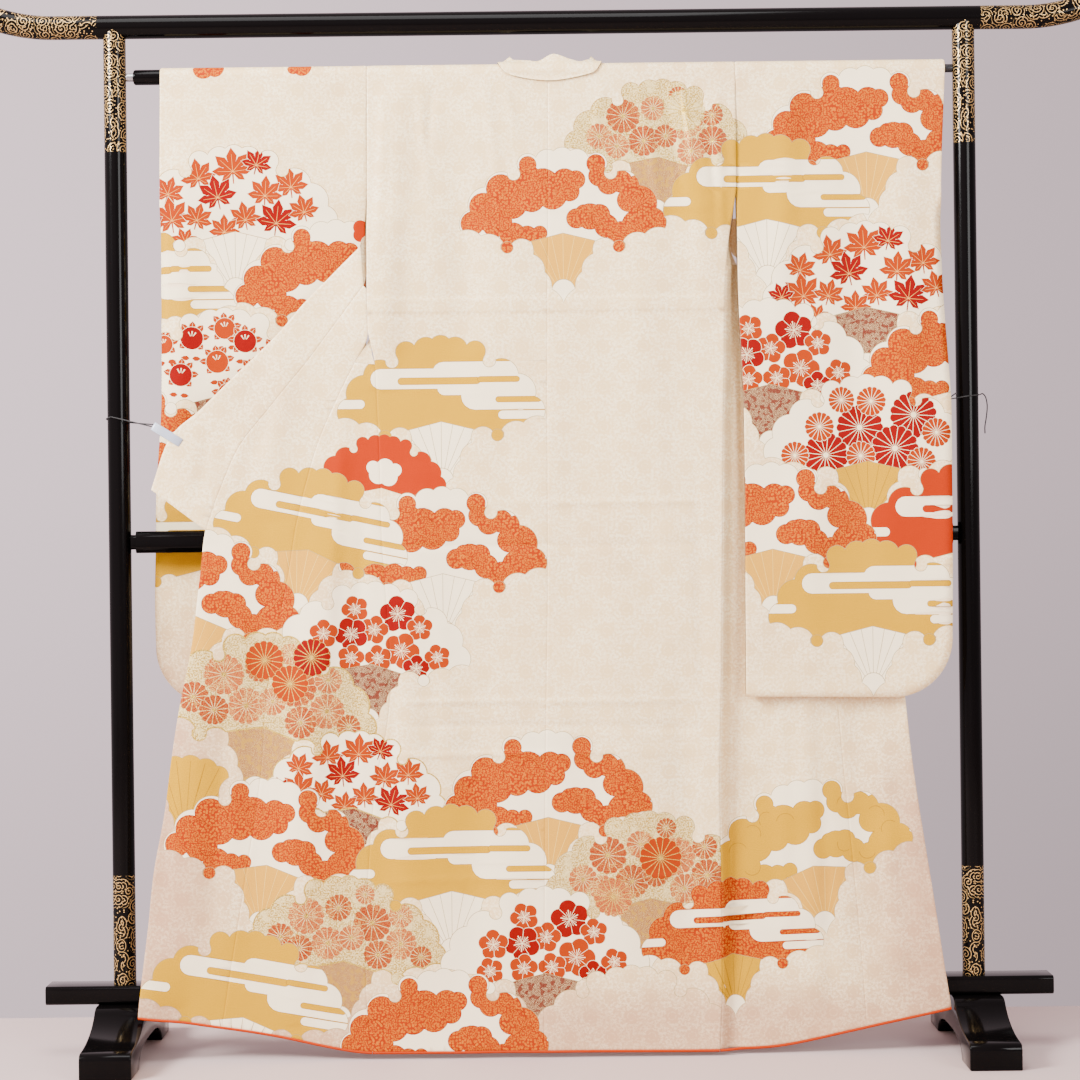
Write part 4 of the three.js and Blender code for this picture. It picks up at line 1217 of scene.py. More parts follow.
def banks(rows: Sequence[CloudBank], base: Sequence[Patch] = ()) -> List[Patch]:
    """Returns the patches of cloud banks, from the highest bank to the lowest, over a base."""
    return list(base) + [patch for row in rows for patch in row.patches()]


# ----------------------------------------------------------------------------- the garment's tables
def curve(points: Sequence[Sequence[float]], step: float) -> Array:
    """Draws a smooth curve through points, in two or three dimensions.

    Args:
        points: The points, first to last.
        step: About how far apart the new points lie.

    Returns:
        The curve's points, both ends kept.
    """
    given = np.array(points, float)
    ends = np.vstack([2 * given[0] - given[1], given, 2 * given[-1] - given[-2]])
    made = []
    for k in range(1, len(ends) - 2):
        p0, p1, p2, p3 = ends[k - 1:k + 3]
        count = max(2, int(math.ceil(np.linalg.norm(p2 - p1) / step)))
        for t in np.arange(count) / count:
            made.append(0.5 * (2 * p1 + (p2 - p0) * t + (2 * p0 - 5 * p1 + 4 * p2 - p3) * t * t
                               + (3 * p1 - p0 - 3 * p2 + p3) * t ** 3))
    made.append(given[-1])
    return np.array(made)


LEFT_FRONT = (
    (-299.5, 1297, -294, 1290, -304, 1362), (-332, 1255, -294, 1248, -352, 1316),
    (-364, 1213, -294.5, 1207, -400, 1268), (-400, 1166, -315, 1168, -447, 1214),
    (-460, 1093, -347, 1104, -513, 1151), (-510, 1030, -377, 1036, -574, 1092),
    (-543, 958, -400, 960, -626, 1044), (-567, 889, -417, 889, -658, 958),
    (-577, 812, -430, 812), (-591, 700, -453, 700), (-612, 600, -470, 597),
    (-628, 504, -477, 504), (-641, 411, -489, 411), (-659, 318, -505, 318),
    (-670, 222, -521, 222), (-678, 152, -533, 152),
)
LEFT_CORNER = (-686.0, -548.0)
RIGHT_FRONT = (
    (346, 1337, 332, 1330, 348, 1418), (380, 1296, 340, 1290, 394, 1366),
    (414, 1256, 348, 1248, 442, 1316), (448, 1216, 358, 1207, 488, 1266),
    (480, 1176, 370, 1168, 528, 1222), (521, 1113, 392, 1104, 582, 1162),
    (551, 1040, 415, 1036, 630, 1104), (569, 962, 437, 960, 662, 1030),
    (578, 889, 452, 889, 670, 960), (586, 812, 462, 812), (595, 700, 478, 700),
    (603, 597, 490, 597), (612, 504, 497, 504), (624, 411, 505, 411), (638, 318, 513, 318),
    (652, 222, 521, 222), (662, 152, 526, 152),
)
RIGHT_CORNER = (674.0, 532.0)
LEFT_TURN = (
    (-291, 14.5, 1658.5, -68, 14.5, 1658.5), (-291, 15, 1600, -116, 17, 1600),
    (-291, 16, 1530, -174, 20, 1530), (-291, 16, 1456, -232, 22, 1456),
    (-290, 13, 1410, -262, 14, 1405), (-285, 8, 1360, -283, -10, 1350),
    (-279, -8, 1300, -288, -25, 1296), (-277, -22, 1250, -285, -33, 1244),
    (-281, -35, 1212, -291, -39, 1206), (-287.4, -40.5, 1190, -303, -43, 1187),
)
RIGHT_TURN = (
    (331, 14.5, 1658.5, 104, 14.5, 1658.5), (331, 15, 1600, 152, 18, 1600),
    (331, 15, 1530, 212, 22, 1530), (330, 14, 1456, 270, 26, 1456),
    (326, 6, 1410, 300, 31, 1405), (317, -14, 1365, 320, 22, 1360),
)
LEFT_STRAP = (
    (-64, 18.5, 1645, -22, 21, 1617), (-114, 20.5, 1597, -74, 26, 1564),
    (-172, 23, 1526, -132, 30, 1494), (-229, 25, 1452, -203, 27, 1424),
    (-258, 14, 1402, -243, 4, 1386), (-272, -2, 1374, -275, -20, 1386),
    (-288, -22, 1342, -298, -32, 1380),
)
RIGHT_STRAP = (
    (101, 18.5, 1645, 60, 21, 1617), (149, 21.5, 1597, 110, 28, 1564),
    (209, 25.5, 1526, 174, 34, 1496), (268, 30, 1452, 250, 48, 1434),
    (302, 34, 1400, 298, 54, 1424), (327, 25, 1350, 328, 40, 1412),
)
NECK_STRETCH = (
    (-72, 18.8, 1648, -50, 25, 1652), (-71, 15, 1668, -50, 12, 1686),
    (-70, 0, 1675, -44, 4, 1681), (-67, -13, 1668, -30, -2, 1679),
    (-54, -18, 1655, -16, -4, 1678), (-22, -18.4, 1646, 0, -5, 1677),
    (18, -18.6, 1642, 24, -5, 1689), (54, -18.4, 1646, 50, -4, 1681),
    (90, -18, 1655, 68, -2, 1676), (103, -13, 1668, 80, 1, 1679), (106, 0, 1675, 86, 6, 1681),
    (107, 15, 1668, 88, 13, 1686), (108, 18.8, 1648, 90, 25, 1652),
)
NECK_CUT = Track(("z", "share"), (
    (1650, 0), (1654, 0.2), (1658.5, 0.72), (1666, 0.93), (1673, 1),
))
NECK_LEFT, NECK_RIGHT = -62.0, 98.0
LEFT_SLEEVE = Track(("z", "inner", "outer", "front", "back"), (
    (1660, -292, -641, -14.5, 14.5), (1460, -293.5, -644, -14, 16), (1400, -298, -645, -9, 18),
    (1302, -299, -646, -4, 20), (1225, -300, -647, 0, 22), (1093, -303, -650, 9, 26),
    (960, -304, -661, 19, 31), (870, -303, -664, 25.5, 37), (757, -303, -667, 29, 41),
    (596, -303, -664, 32, 44),
))
RIGHT_SLEEVE = Track(("z", "inner", "outer", "front", "back"), (
    (1660, 332, 686, -14.5, 14.5), (1460, 331.5, 676, -22, 9), (1376, 331.5, 676, -26, 2),
    (1275, 332, 678, -30, -9), (1093, 338, 687, -40, -26.5), (960, 338, 686, -47, -35),
    (870, 337, 685, -52, -40), (757, 336, 683, -55, -43), (596, 335, 681, -57, -45),
))


def grid_between(first: Array, last: Array, across: int, bulge: Optional[Array] = None) -> Array:
    """Lays a grid of points between two edges.

    Args:
        first: One edge, a row of points.
        last: The other edge, with as many points.
        across: How many points lie on each row.
        bulge: A push at the middle of each row, if any.

    Returns:
        The grid, rows by across by 3.
    """
    share = np.linspace(0, 1, across)[None, :, None]
    grid = first[:, None] * (1 - share) + last[:, None] * share
    if bulge is not None:
        grid = grid + bulge[:, None] * np.sin(math.pi * share)
    return grid


def grid_faces(rows: int, across: int, flip: bool = False) -> Array:
    """Returns the triangles of a grid, which can be turned over."""
    k = np.arange(rows - 1)[:, None] * across + np.arange(across - 1)[None]
    k = k.ravel()
    first = np.column_stack([k, k + across, k + across + 1])
    second = np.column_stack([k, k + across + 1, k + 1])
    faces = np.vstack([first, second])
    return faces[:, ::-1] if flip else faces


def grid_normals(grid: Array, flip: bool = False) -> Array:
    """Returns the unit normals of a grid of points, in the order of its points."""
    normal = np.cross(np.gradient(grid, axis=0), np.gradient(grid, axis=1))
    normal = normal / np.maximum(np.linalg.norm(normal, axis=2, keepdims=True), 1e-9)
    return (-normal if flip else normal).reshape(-1, 3)


# ----------------------------------------------------------------------------- the garment
@dataclass
class Panel:
    """A panel of the garment that is seen flat: its cut, where it hangs and its lining."""

    outline: Array
    surface: Surface
    lining: str = "lining"
    thick: float = 1.6
    pitch: float = 9.0
    levels: Sequence[float] = ()
    insets: Sequence[float] = INSETS
    seam_dip: float = 0.8
    seam_reach: float = 3.0

    def dipped(self, flat: Array) -> Tuple[Array, Array]:
        """Returns points and normals of the cloth's middle, pulled in a little at its seams."""
        points = self.surface(flat[:, 0], flat[:, 1])
        normals = surface_normals(self.surface, flat[:, 0], flat[:, 1])
        ring = counter_clockwise(self.outline)
        after = np.roll(ring, -1, axis=0)
        along = after - ring
        size = np.maximum(np.linalg.norm(along, axis=1), 1e-9)
        along = along / size[:, None]
        near = np.flatnonzero(FlatCut(self.outline).from_edge(flat) < self.seam_reach + 5)
        offset = flat[near][:, None] - ring[None]
        spot = np.clip(np.sum(offset * along[None], axis=2), 0, size[None])
        away = np.linalg.norm(offset - spot[..., None] * along[None], axis=2)
        nearest = away.argmin(axis=1)
        gap = away[np.arange(len(near)), nearest]
        share = np.clip(1 - gap / self.seam_reach, 0, 1)
        inward = np.column_stack([-along[nearest, 1], along[nearest, 0]])
        slope = (2 * self.seam_dip / self.seam_reach * share)[:, None]
        lean = np.column_stack([inward[:, 0], np.zeros(len(near)), inward[:, 1]])
        points[near] -= normals[near] * (self.seam_dip * share ** 2)[:, None]
        normals[near] = normals[near] - lean * slope
        normals[near] /= np.linalg.norm(normals[near], axis=1, keepdims=True)
        return points, normals

    def lay(self, mesh: ClothMesh, patches: Sequence[Patch]) -> None:
        """Adds the panel to a mesh, with its dyed patches cut into it."""
        cut = FlatCut(self.outline, self.pitch, self.levels, self.insets)
        seen = cut.triangulate(patches, "silk", mesh.dye_index)
        loop = seen.edge_loop()
        flat, faces, places = cut.triangulate_edge(seen.flat[loop])
        seen.points, seen.normals = self.dipped(seen.flat)
        dyes = np.full(len(faces), mesh.dye_index(self.lining))
        unseen = Skin(*self.dipped(flat), flat, faces, dyes)
        pairs = list(zip(loop, places))
        mesh.shell(seen, unseen, list(zip(pairs, pairs[1:] + pairs[:1])), self.thick)


@dataclass
class Ribbon:
    """A stretch of cloth laid between two curved edges in space, mostly out of sight."""

    first: Sequence[Sequence[float]]
    last: Sequence[Sequence[float]]
    across: int = 24
    step: float = 9.0
    flip: bool = False
    lining: str = "lining"
    thick: float = 1.6

    def lay(self, mesh: ClothMesh) -> None:
        """Adds the ribbon to a mesh."""
        both = curve(np.hstack([self.first, self.last]), self.step * 1.4)
        self.lay_grid(mesh, grid_between(both[:, :3], both[:, 3:], self.across))

    def lay_grid(self, mesh: ClothMesh, grid: Array) -> None:
        """Adds a grid of points to a mesh as cloth."""
        rows, across = grid.shape[:2]
        faces = grid_faces(rows, across, self.flip)
        flat = np.column_stack([grid[..., 0].ravel(), grid[..., 2].ravel()])
        points, normals = grid.reshape(-1, 3), grid_normals(grid, self.flip)
        seen = Skin(points, normals, flat, faces, np.full(len(faces), mesh.dye_index("silk")))
        unseen = Skin(points, normals, flat, faces, np.full(len(faces), mesh.dye_index(self.lining)))
        loop = [(k, k) for k in seen.edge_loop()]
        mesh.shell(seen, unseen, list(zip(loop, loop[1:] + loop[:1])), self.thick)


def facing(depth: Surface) -> Surface:
    """Returns a surface that hangs at a depth and goes over the rod above its middle."""

    def surface(x: Array, v: Array) -> Array:
        """Returns the points at x and at v, the height that goes on as a length over the rod."""
        x, v = np.broadcast_arrays(np.asarray(x, float), np.asarray(v, float))
        z = np.minimum(v, ROD_Z)
        angle = np.maximum(v - ROD_Z, 0) / OVER_ROD
        hung = depth(x, z) - FACE.read("y", z)
        fade = smooth(ROD_Z, ROD_Z - BELOW_ROD, z)
        y = np.where(v > ROD_Z, -OVER_ROD * np.cos(angle), FACE.read("y", z) + hung * fade)
        return np.column_stack([x, y, z + OVER_ROD * np.sin(angle)])

    return surface


def between(track: Track, column: str, low: float, high: float, step: float, push: float = 0.0) -> Array:
    """Returns an edge read from a table, from low to high, as flat points."""
    z = np.linspace(low, high, max(2, int(abs(high - low) / step)))
    return np.column_stack([track.read(column, z) + push, z])


def along_hem(left: float, right: float, step: float) -> Array:
    """Returns the hem's edge from left to right, as flat points."""
    x = np.linspace(left, right, max(2, int(abs(right - left) / step)))
    return np.column_stack([x, hem_height(x)])


def joined(*runs: Array) -> Array:
    """Joins runs of points into one closed outline, without doubled points."""
    points = np.vstack(runs)
    keep = np.linalg.norm(points - np.roll(points, 1, axis=0), axis=1) > 0.4
    return points[keep]


@dataclass(frozen=True)
class Cut:
    """How a piece was cut: width and length in metres, and how it hangs."""

    width: float
    length: float
    held: str
    rests_on: Tuple[str, ...]
    area: Optional[float] = None


class Edge(Enum):
    """The two sides of the garment, as seen from its back."""

    LEFT = "left"
    RIGHT = "right"

    @property
    def sign(self) -> int:
        """Returns -1 on the left and 1 on the right."""
        return -1 if self is Edge.LEFT else 1


@dataclass
class Workroom:
    """What every part of the garment is made with: its finishes and what is dyed on it."""

    finishes: "Finishes"
    dyed: Dict[str, Sequence[Patch]]

    def sew(self, name: str, panels: Sequence[Panel], ribbons: Sequence[Ribbon], cut: Cut,
            with_pieces: Sequence[bpy.types.Object] = ()) -> bpy.types.Object:
        """Makes one piece of the garment and logs its name, triangles and area.

        Args:
            name: The name of the solid that it replaces.
            panels: Its flat panels.
            ribbons: Its turned stretches.
            cut: The size it was cut to.
            with_pieces: Not used.

        Returns:
            The piece.
        """
        mesh = ClothMesh(f"silk_{name}", self.finishes)
        for panel in panels:
            panel.lay(mesh, self.dyed.get(name, ()))
        for ribbon in ribbons:
            ribbon.lay(mesh)
        piece = mesh.build(name, "silk")
        list(cut.rests_on)
        skin = sum(face.area for face in piece.data.polygons) / 2
        LOG.info("%s: %d triangles, %.3f square metres", piece.name, len(piece.data.polygons), skin)
        return piece


@dataclass
class Backs:
    """The two back halves, joined down the middle, which hang over the rod's top."""

    room: Workroom
    cut: Cut = Cut(0.316, 1.68, "hung", ("rod_hanging",), 0.505)

    def outline(self, edge: Edge) -> Array:
        """Returns the flat outline of one half."""
        top, inner = ROD_Z + QUARTER, 0.15 * edge.sign
        side = between(BACK_EDGE, edge.value, 12, ROD_Z, 7)
        side[0, 1] = hem_height(side[0, 0])
        neck = NECK_LEFT if edge is Edge.LEFT else NECK_RIGHT
        shoulder = np.array([[side[-1, 0], v] for v in np.linspace(ROD_Z + 5, top, 4)])
        across = np.column_stack([np.linspace(side[-1, 0], neck, 22)[1:], np.full(21, top)])
        v = np.linspace(top, 1650, 20)[1:]
        height = ROD_Z + OVER_ROD * np.sin(np.clip((v - ROD_Z) / OVER_ROD, 0, 2))
        height = np.where(v < ROD_Z, v, height)
        centre = BACK_EDGE.read("centre", height) + inner
        neckline = np.column_stack([mix(centre, neck, NECK_CUT.read("share", height)), v])
        middle = between(BACK_EDGE, "centre", 1644, 12, 7, inner)
        middle[-1, 1] = hem_height(middle[-1, 0])
        hem = along_hem(middle[-1, 0], side[0, 0], 7)[1:-1]
        return joined(side, shoulder, across, neckline, middle, hem)

    def build(self, hem_roll: bpy.types.Object) -> None:
        """Makes both halves."""
        for edge in Edge:
            panel = Panel(self.outline(edge), facing(back_depth), levels=(TUCK["low"], TUCK["high"]))
            rolled = [hem_roll] if edge is Edge.LEFT else []
            self.room.sew(f"back_{edge.value}", [panel], [], self.cut, rolled)


def seams(rows: Sequence[Sequence[float]], corner: Sequence[float], column: int) -> Array:
    """Returns one seam of a front as a smooth flat line, from its top to the hem.

    Args:
        rows: The front's table.
        corner: The free edge's and the seam's x at the hem.
        column: 0 for the free edge, 2 for the front's seam and 4 for the collar's outer edge.
    """
    points = [row[column:column + 2] for row in rows if len(row) > column]
    if column < 4:
        x = corner[column // 2]
        points.append((x, float(hem_height(x))))
    return curve(points, 8)


@dataclass
class Fronts:
    """The two fronts and their overlap panels."""

    room: Workroom
    front_cuts: Tuple[Cut, Cut] = (
        Cut(0.26, 1.67, "hung", ("rod_hanging",), 0.26), Cut(0.26, 1.67, "hung", ("rod_hanging",), 0.29),
    )
    overlap_cut: Cut = Cut(0.165, 1.31, "hung", ("rod_hanging",), 0.175)

    def front(self, edge: Edge, hem_roll: bpy.types.Object) -> None:
        """Makes one front: turned out of sight at its top, flat below."""
        left = edge is Edge.LEFT
        rows = LEFT_FRONT[3:] if left else RIGHT_FRONT
        seam = seams(rows, LEFT_CORNER if left else RIGHT_CORNER, 2)
        top = seam[0, 1]
        side = between(BACK_EDGE, edge.value, 12, top - 4, 7, 0.3 * edge.sign)
        side[0, 1] = hem_height(side[0, 0])
        hem = along_hem(seam[-1, 0], side[0, 0], 7)[1:-1]
        depth = face_depth if left else right_front_depth
        insets = INSETS if left else INSETS + (9, 13, 17, 21, 25, 29)
        panel = Panel(joined(seam, hem, side), facing(depth), insets=insets)
        turn = LEFT_TURN if left else RIGHT_TURN
        last = [side[-1, 0], float(depth(side[-1, 0], side[-1, 1])), side[-1, 1],
                seam[0, 0], float(depth(seam[0, 0], seam[0, 1])), seam[0, 1]]
        over = []
        for degrees in (90, 60, 30):
            angle = math.radians(degrees)
            y, z = OVER_ROD * math.cos(angle) + 0.15, ROD_Z + OVER_ROD * math.sin(angle)
            a = float(BACK_EDGE.read(edge.value, z))
            over.append([a, y, z, NECK_LEFT if left else NECK_RIGHT, y, z])
        rows_3d = np.array(over + [list(row) for row in turn] + [last])
        ribbon = Ribbon(rows_3d[:, :3], rows_3d[:, 3:], 26, 9, left)
        cut = self.front_cuts[0 if left else 1]
        self.room.sew(f"front_{edge.value}", [panel], [ribbon], cut, [hem_roll])

    def overlap(self, edge: Edge) -> None:
        """Makes one overlap panel, pointed at its top."""
        left = edge is Edge.LEFT
        rows, corner = (LEFT_FRONT, LEFT_CORNER) if left else (RIGHT_FRONT, RIGHT_CORNER)
        seam, free = seams(rows, corner, 2), seams(rows, corner, 0)
        hem = along_hem(free[-1, 0], seam[-1, 0], 7)[1:-1]
        outline = joined(free, hem, seam[::-1])
        depth = face_depth if left else rear_depth
        self.room.sew(f"okumi_{edge.value}", [Panel(outline, facing(depth))], [], self.overlap_cut)

    def build(self, hem_rolls: Dict[Edge, bpy.types.Object]) -> None:
        """Makes both fronts and both overlap panels."""
        for edge in Edge:
            self.front(edge, hem_rolls[edge])
            self.overlap(edge)


@dataclass
class Collar:
    """The one long collar, in three stretches."""

    room: Workroom
    thick: float = 2.6
    side_cut: Cut = Cut(0.085, 0.98, "hung", ("rod_hanging",), 0.062)
    neck_cut: Cut = Cut(0.031, 0.26, "hung", ("rod_hanging",))

    def side(self, edge: Edge) -> None:
        """Makes the stretch along one front."""
        left = edge is Edge.LEFT
        rows = LEFT_FRONT if left else RIGHT_FRONT
        bound = [row for row in rows if len(row) > 4]
        seam = curve([row[0:2] for row in bound], 8)
        outer = curve([row[4:6] for row in bound], 8)
        foot = np.column_stack([np.linspace(seam[-1, i], outer[-1, i], 12)[1:-1] for i in (0, 1)])
        head = np.column_stack([np.linspace(outer[0, i], seam[0, i], 10)[1:-1] for i in (0, 1)])
        depth = face_depth if left else rear_depth
        panel = Panel(joined(seam, foot, outer[::-1], head), facing(depth), thick=self.thick)
        strap = [list(row) for row in (LEFT_STRAP if left else RIGHT_STRAP)]
        s, t = bound[0][0:2], bound[0][4:6]
        strap.append([s[0], float(depth(*s)), s[1], t[0], float(depth(*t)), t[1]])
        both = np.array(strap)
        ribbon = Ribbon(both[:, :3], both[:, 3:], 10, 8, left, thick=self.thick)
        self.room.sew(f"collar_{edge.value}", [panel], [ribbon], self.side_cut)

    def neck(self) -> None:
        """Makes the stretch round the neck, which stands off the rod."""
        both = np.array(NECK_STRETCH, float)
        ribbon = NeckRibbon(both[:, :3], both[:, 3:], 10, 7, False, thick=self.thick)
        self.room.sew("collar_neck", [], [ribbon], self.neck_cut)

    def build(self) -> None:
        """Makes the three stretches."""
        self.neck()
        for edge in Edge:
            self.side(edge)


@dataclass
class NeckRibbon(Ribbon):
    """The collar behind the neck: a ribbon that is pushed clear of the rod."""

    clear: float = 17.8

    def lay(self, mesh: ClothMesh) -> None:
        """Adds the ribbon to a mesh, no nearer to the rod's axis than its clearance."""
        both = curve(np.hstack([self.first, self.last]), self.step)
        grid = grid_between(both[:, :3], both[:, 3:], self.across)
        offset = grid[..., 1:] - np.array([0, ROD_Z])
        reach = np.linalg.norm(offset, axis=2, keepdims=True)
        grid[..., 1:] = np.array([0, ROD_Z]) + offset * np.maximum(1, self.clear / reach)
        self.lay_grid(mesh, grid)


@dataclass
class Sleeve:
    """A long swinging sleeve: one length folded over the rod, sewn at its foot and outer edge."""

    room: Workroom
    edge: Edge
    track: Track
    bottom: float
    folds: Sequence[Fold]
    corner: float = 100.0
    cuff: float = 1442.0
    cuff_fade: float = 50.0
    pinch: float = 14.0
    held_apart: float = 1.1
    cut: Cut = Cut(0.36, 2.14, "hung", ("rod_hanging",), 0.765)

    @property
    def over(self) -> float:
        """Returns the length of cloth that lies over the rod."""
        return math.pi * OVER_ROD

    def sewn(self, x: Array, z: Array) -> Array:
        """Returns how closely the two layers are held together, from 0 to 1."""
        from_outer = np.abs(self.track.read("outer", z)) - np.abs(x)
        from_foot = z - self.bottom
        r = self.corner
        rounded = r - np.hypot(np.minimum(from_outer, r) - r, np.minimum(from_foot, r) - r)
        near_corner = (from_outer < r) & (from_foot < r)
        edge = np.where(near_corner, rounded, np.minimum(from_outer, from_foot))
        hold = np.square(np.clip(1 - edge / self.pinch, 0, 1))
        foot = np.square(np.clip(1 - from_foot / self.pinch, 0, 1))
        opened = hold * smooth(self.cuff, self.cuff - self.cuff_fade, z)
        return np.where(z > self.cuff - self.cuff_fade, opened, np.maximum(hold, foot))

    def surface(self, x: Array, v: Array) -> Array:
        """Returns where cloth lies: up the seen layer, over the rod and down behind."""
        x, v = np.broadcast_arrays(np.asarray(x, float), np.asarray(v, float))
        behind = v > ROD_Z + self.over
        z = np.where(behind, 2 * ROD_Z + self.over - v, np.minimum(v, ROD_Z))
        swell = np.zeros(z.shape)
        for fold in self.folds:
            swell = swell + fold.depth(x, z)
        swell = swell + 0.8 * waves(x, z, 7 + self.edge.sign, 6, 240)
        swell = swell * smooth(self.bottom, self.bottom + 60, z) * smooth(ROD_Z, ROD_Z - BELOW_ROD, z)
        face, rear = self.track.read("front", z), self.track.read("back", z)
        middle, hold = (face + rear) / 2, self.sewn(x, z)
        seen = mix(face + swell, middle - self.held_apart + 0.8 * swell, hold)
        hidden = mix(rear + 0.6 * swell, middle + self.held_apart + 0.8 * swell, hold)
        angle = np.clip((v - ROD_Z) / OVER_ROD, 0, math.pi)
        bent = (v > ROD_Z) & ~behind
        y = np.where(bent, -OVER_ROD * np.cos(angle), np.where(behind, hidden, seen))
        return np.column_stack([x, y, np.where(bent, ROD_Z + OVER_ROD * np.sin(angle), z)])

    def outline(self) -> Array:
        """Returns the flat outline, both layers in one length."""
        r, sign = self.corner, self.edge.sign
        z = np.linspace(self.bottom + 4, ROD_Z, 140)
        inner = np.column_stack([self.track.read("inner", z), z])
        arc = np.linspace(ROD_Z, ROD_Z + self.over, 10)[1:-1]
        turn = np.column_stack([np.full(len(arc), inner[-1, 0]), arc])
        angles = np.radians(np.linspace(90, 0, 26))
        round_x = self.track.read("outer", self.bottom + r) - sign * r * (1 - np.cos(angles))
        corner = np.column_stack([round_x, self.bottom + r - r * np.sin(angles)])
        z = np.linspace(self.bottom + r + 5, ROD_Z, 125)
        outer = np.vstack([corner, np.column_stack([self.track.read("outer", z), z])])
        foot_x = np.linspace(inner[0, 0], outer[0, 0], 45)[1:-1]
        foot = np.column_stack([foot_x, mix(inner[0, 1], outer[0, 1], (foot_x - inner[0, 0])
                                            / (outer[0, 0] - inner[0, 0]))])
        back_turn = np.column_stack([np.full(len(arc), outer[-1, 0]), arc])

        def behind(run: Array) -> Array:
            """Returns a run of the seen layer mirrored onto the hidden one."""
            return np.column_stack([run[:, 0], 2 * ROD_Z + self.over - run[:, 1]])

        return joined(inner, turn, behind(inner)[::-1], behind(foot), behind(outer),
                      back_turn[::-1], outer[::-1], foot[::-1])

    def build(self) -> None:
        """Makes the sleeve."""
        panel = Panel(self.outline(), self.surface)
        self.room.sew(f"sleeve_{self.edge.value}", [panel], [], self.cut)


@dataclass
class HemRolls:
    """The padded edge of the lining, which peeps out below the silk."""

    finishes: "Finishes"
    radius: float = 2.2
    sides: int = 14
    step: float = 9.0

    def roll(self, name: str, first: float, last: float, depth: Surface) -> bpy.types.Object:
        """Makes one stretch of the padded edge.

        Args:
            name: The solid that it replaces.
            first: Its left end.
            last: Its right end.
            depth: The depth of the cloth that it ends.

        Returns:
            The piece.
        """
        x = np.linspace(first, last, int((last - first) / self.step) + 1)
        z = HEM.read("z", x) + self.radius
        y = depth(x, z + self.radius)
        turn = np.linspace(0, 2 * math.pi, self.sides, endpoint=False)
        out = np.stack([np.zeros_like(turn), np.cos(turn), np.sin(turn)], axis=1)
        rings = np.column_stack([x, y, z])[:, None] + self.radius * out[None]
        normals = np.broadcast_to(out[None], rings.shape).reshape(-1, 3)
        k = np.arange(len(x) - 1)[:, None] * self.sides
        j = np.arange(self.sides)[None]
        a, b = (k + j).ravel(), (k + (j + 1) % self.sides).ravel()
        faces = np.vstack([np.column_stack([a, b, b + self.sides]),
                           np.column_stack([a, b + self.sides, a + self.sides])])
        caps = [[0, k + 1, k] for k in range(1, self.sides - 1)]
        end = (len(x) - 1) * self.sides
        caps += [[end, end + k, end + k + 1] for k in range(1, self.sides - 1)]
        mesh = ClothMesh(f"silk_{name}", self.finishes)
        points = rings.reshape(-1, 3)
        faces = np.vstack([faces, caps])
        dyes = np.full(len(faces), mesh.dye_index("hem"))
        mesh.add(points, normals, points[:, [0, 2]], faces, dyes)
        return mesh.build(name, "lining")


# ----------------------------------------------------------------------------- the stand
@dataclass
class Hard:
    """A hard piece of the stand, gathered from rings or an outline and given soft edges."""

    name: str
    finishes: "Finishes"
    finish: str
    slot: str = "lacquer"
    verts: List[Sequence[float]] = field(default_factory=list)
    faces: List[Sequence[int]] = field(default_factory=list)

    def rings(self, rings: Array) -> None:
        """Adds a skin through closed rings, all with as many points, and closes both ends."""
        base, count = len(self.verts), rings.shape[1]
        self.verts += rings.reshape(-1, 3).tolist()
        for k in range(len(rings) - 1):
            for j in range(count):
                a, b = base + k * count + j, base + k * count + (j + 1) % count
                self.faces.append((a, b, b + count, a + count))
        end = base + (len(rings) - 1) * count
        self.faces.append(tuple(range(base, base + count))[::-1])
        self.faces.append(tuple(range(end, end + count)))

    def build(self, bevel: float = 0.0, angle: float = 32.0) -> bpy.types.Object:
        """Makes the Blender object.

        Args:
            bevel: Size of the soft edges, in millimetres, 0 for none.
            angle: Edges sharper than this are softened and stay crisp.

        Returns:
            The piece, which replaces the solid of its name.
        """
        mesh = bpy.data.meshes.new(f"stand_{self.name}")
        grown = bmesh.new()
        verts = [grown.verts.new(Vector(v) * MM) for v in self.verts]
        for face in self.faces:
            grown.faces.new([verts[k] for k in face])
        bmesh.ops.recalc_face_normals(grown, faces=grown.faces)
        if bevel:
            sharp = [e for e in grown.edges
                     if len(e.link_faces) == 2 and e.calc_face_angle() > math.radians(angle)]
            bmesh.ops.bevel(grown, geom=sharp, offset=bevel * MM, segments=3, profile=0.5,
                            affect="EDGES", clamp_overlap=True)
        grown.to_mesh(mesh)
        grown.free()
        mesh.polygons.foreach_set("use_smooth", [True] * len(mesh.polygons))
        mesh.set_sharp_from_angle(angle=math.radians(angle))
        mesh.materials.append(self.finishes.material(self.finish))
        piece = placed(f"stand_{self.name}", mesh, self.name, self.slot)
        LOG.info("%s: %d faces", piece.name, len(mesh.polygons))
        return piece


def round_section(radius: float, sides: int) -> Array:
    """Returns a circle of points, radius and angle in the section's plane."""
    turn = np.linspace(0, 2 * math.pi, sides, endpoint=False)
    return radius * np.column_stack([np.cos(turn), np.sin(turn)])


def block_section(deep: float, tall: float, chamfer: float) -> Array:
    """Returns the section of a chamfered bar, as depth and height."""
    a, b, c = deep / 2, tall / 2, chamfer
    return np.array([(-a + c, -b), (a - c, -b), (a, -b + c), (a, b - c), (a - c, b),
                     (-a + c, b), (-a, b - c), (-a, -b + c)])


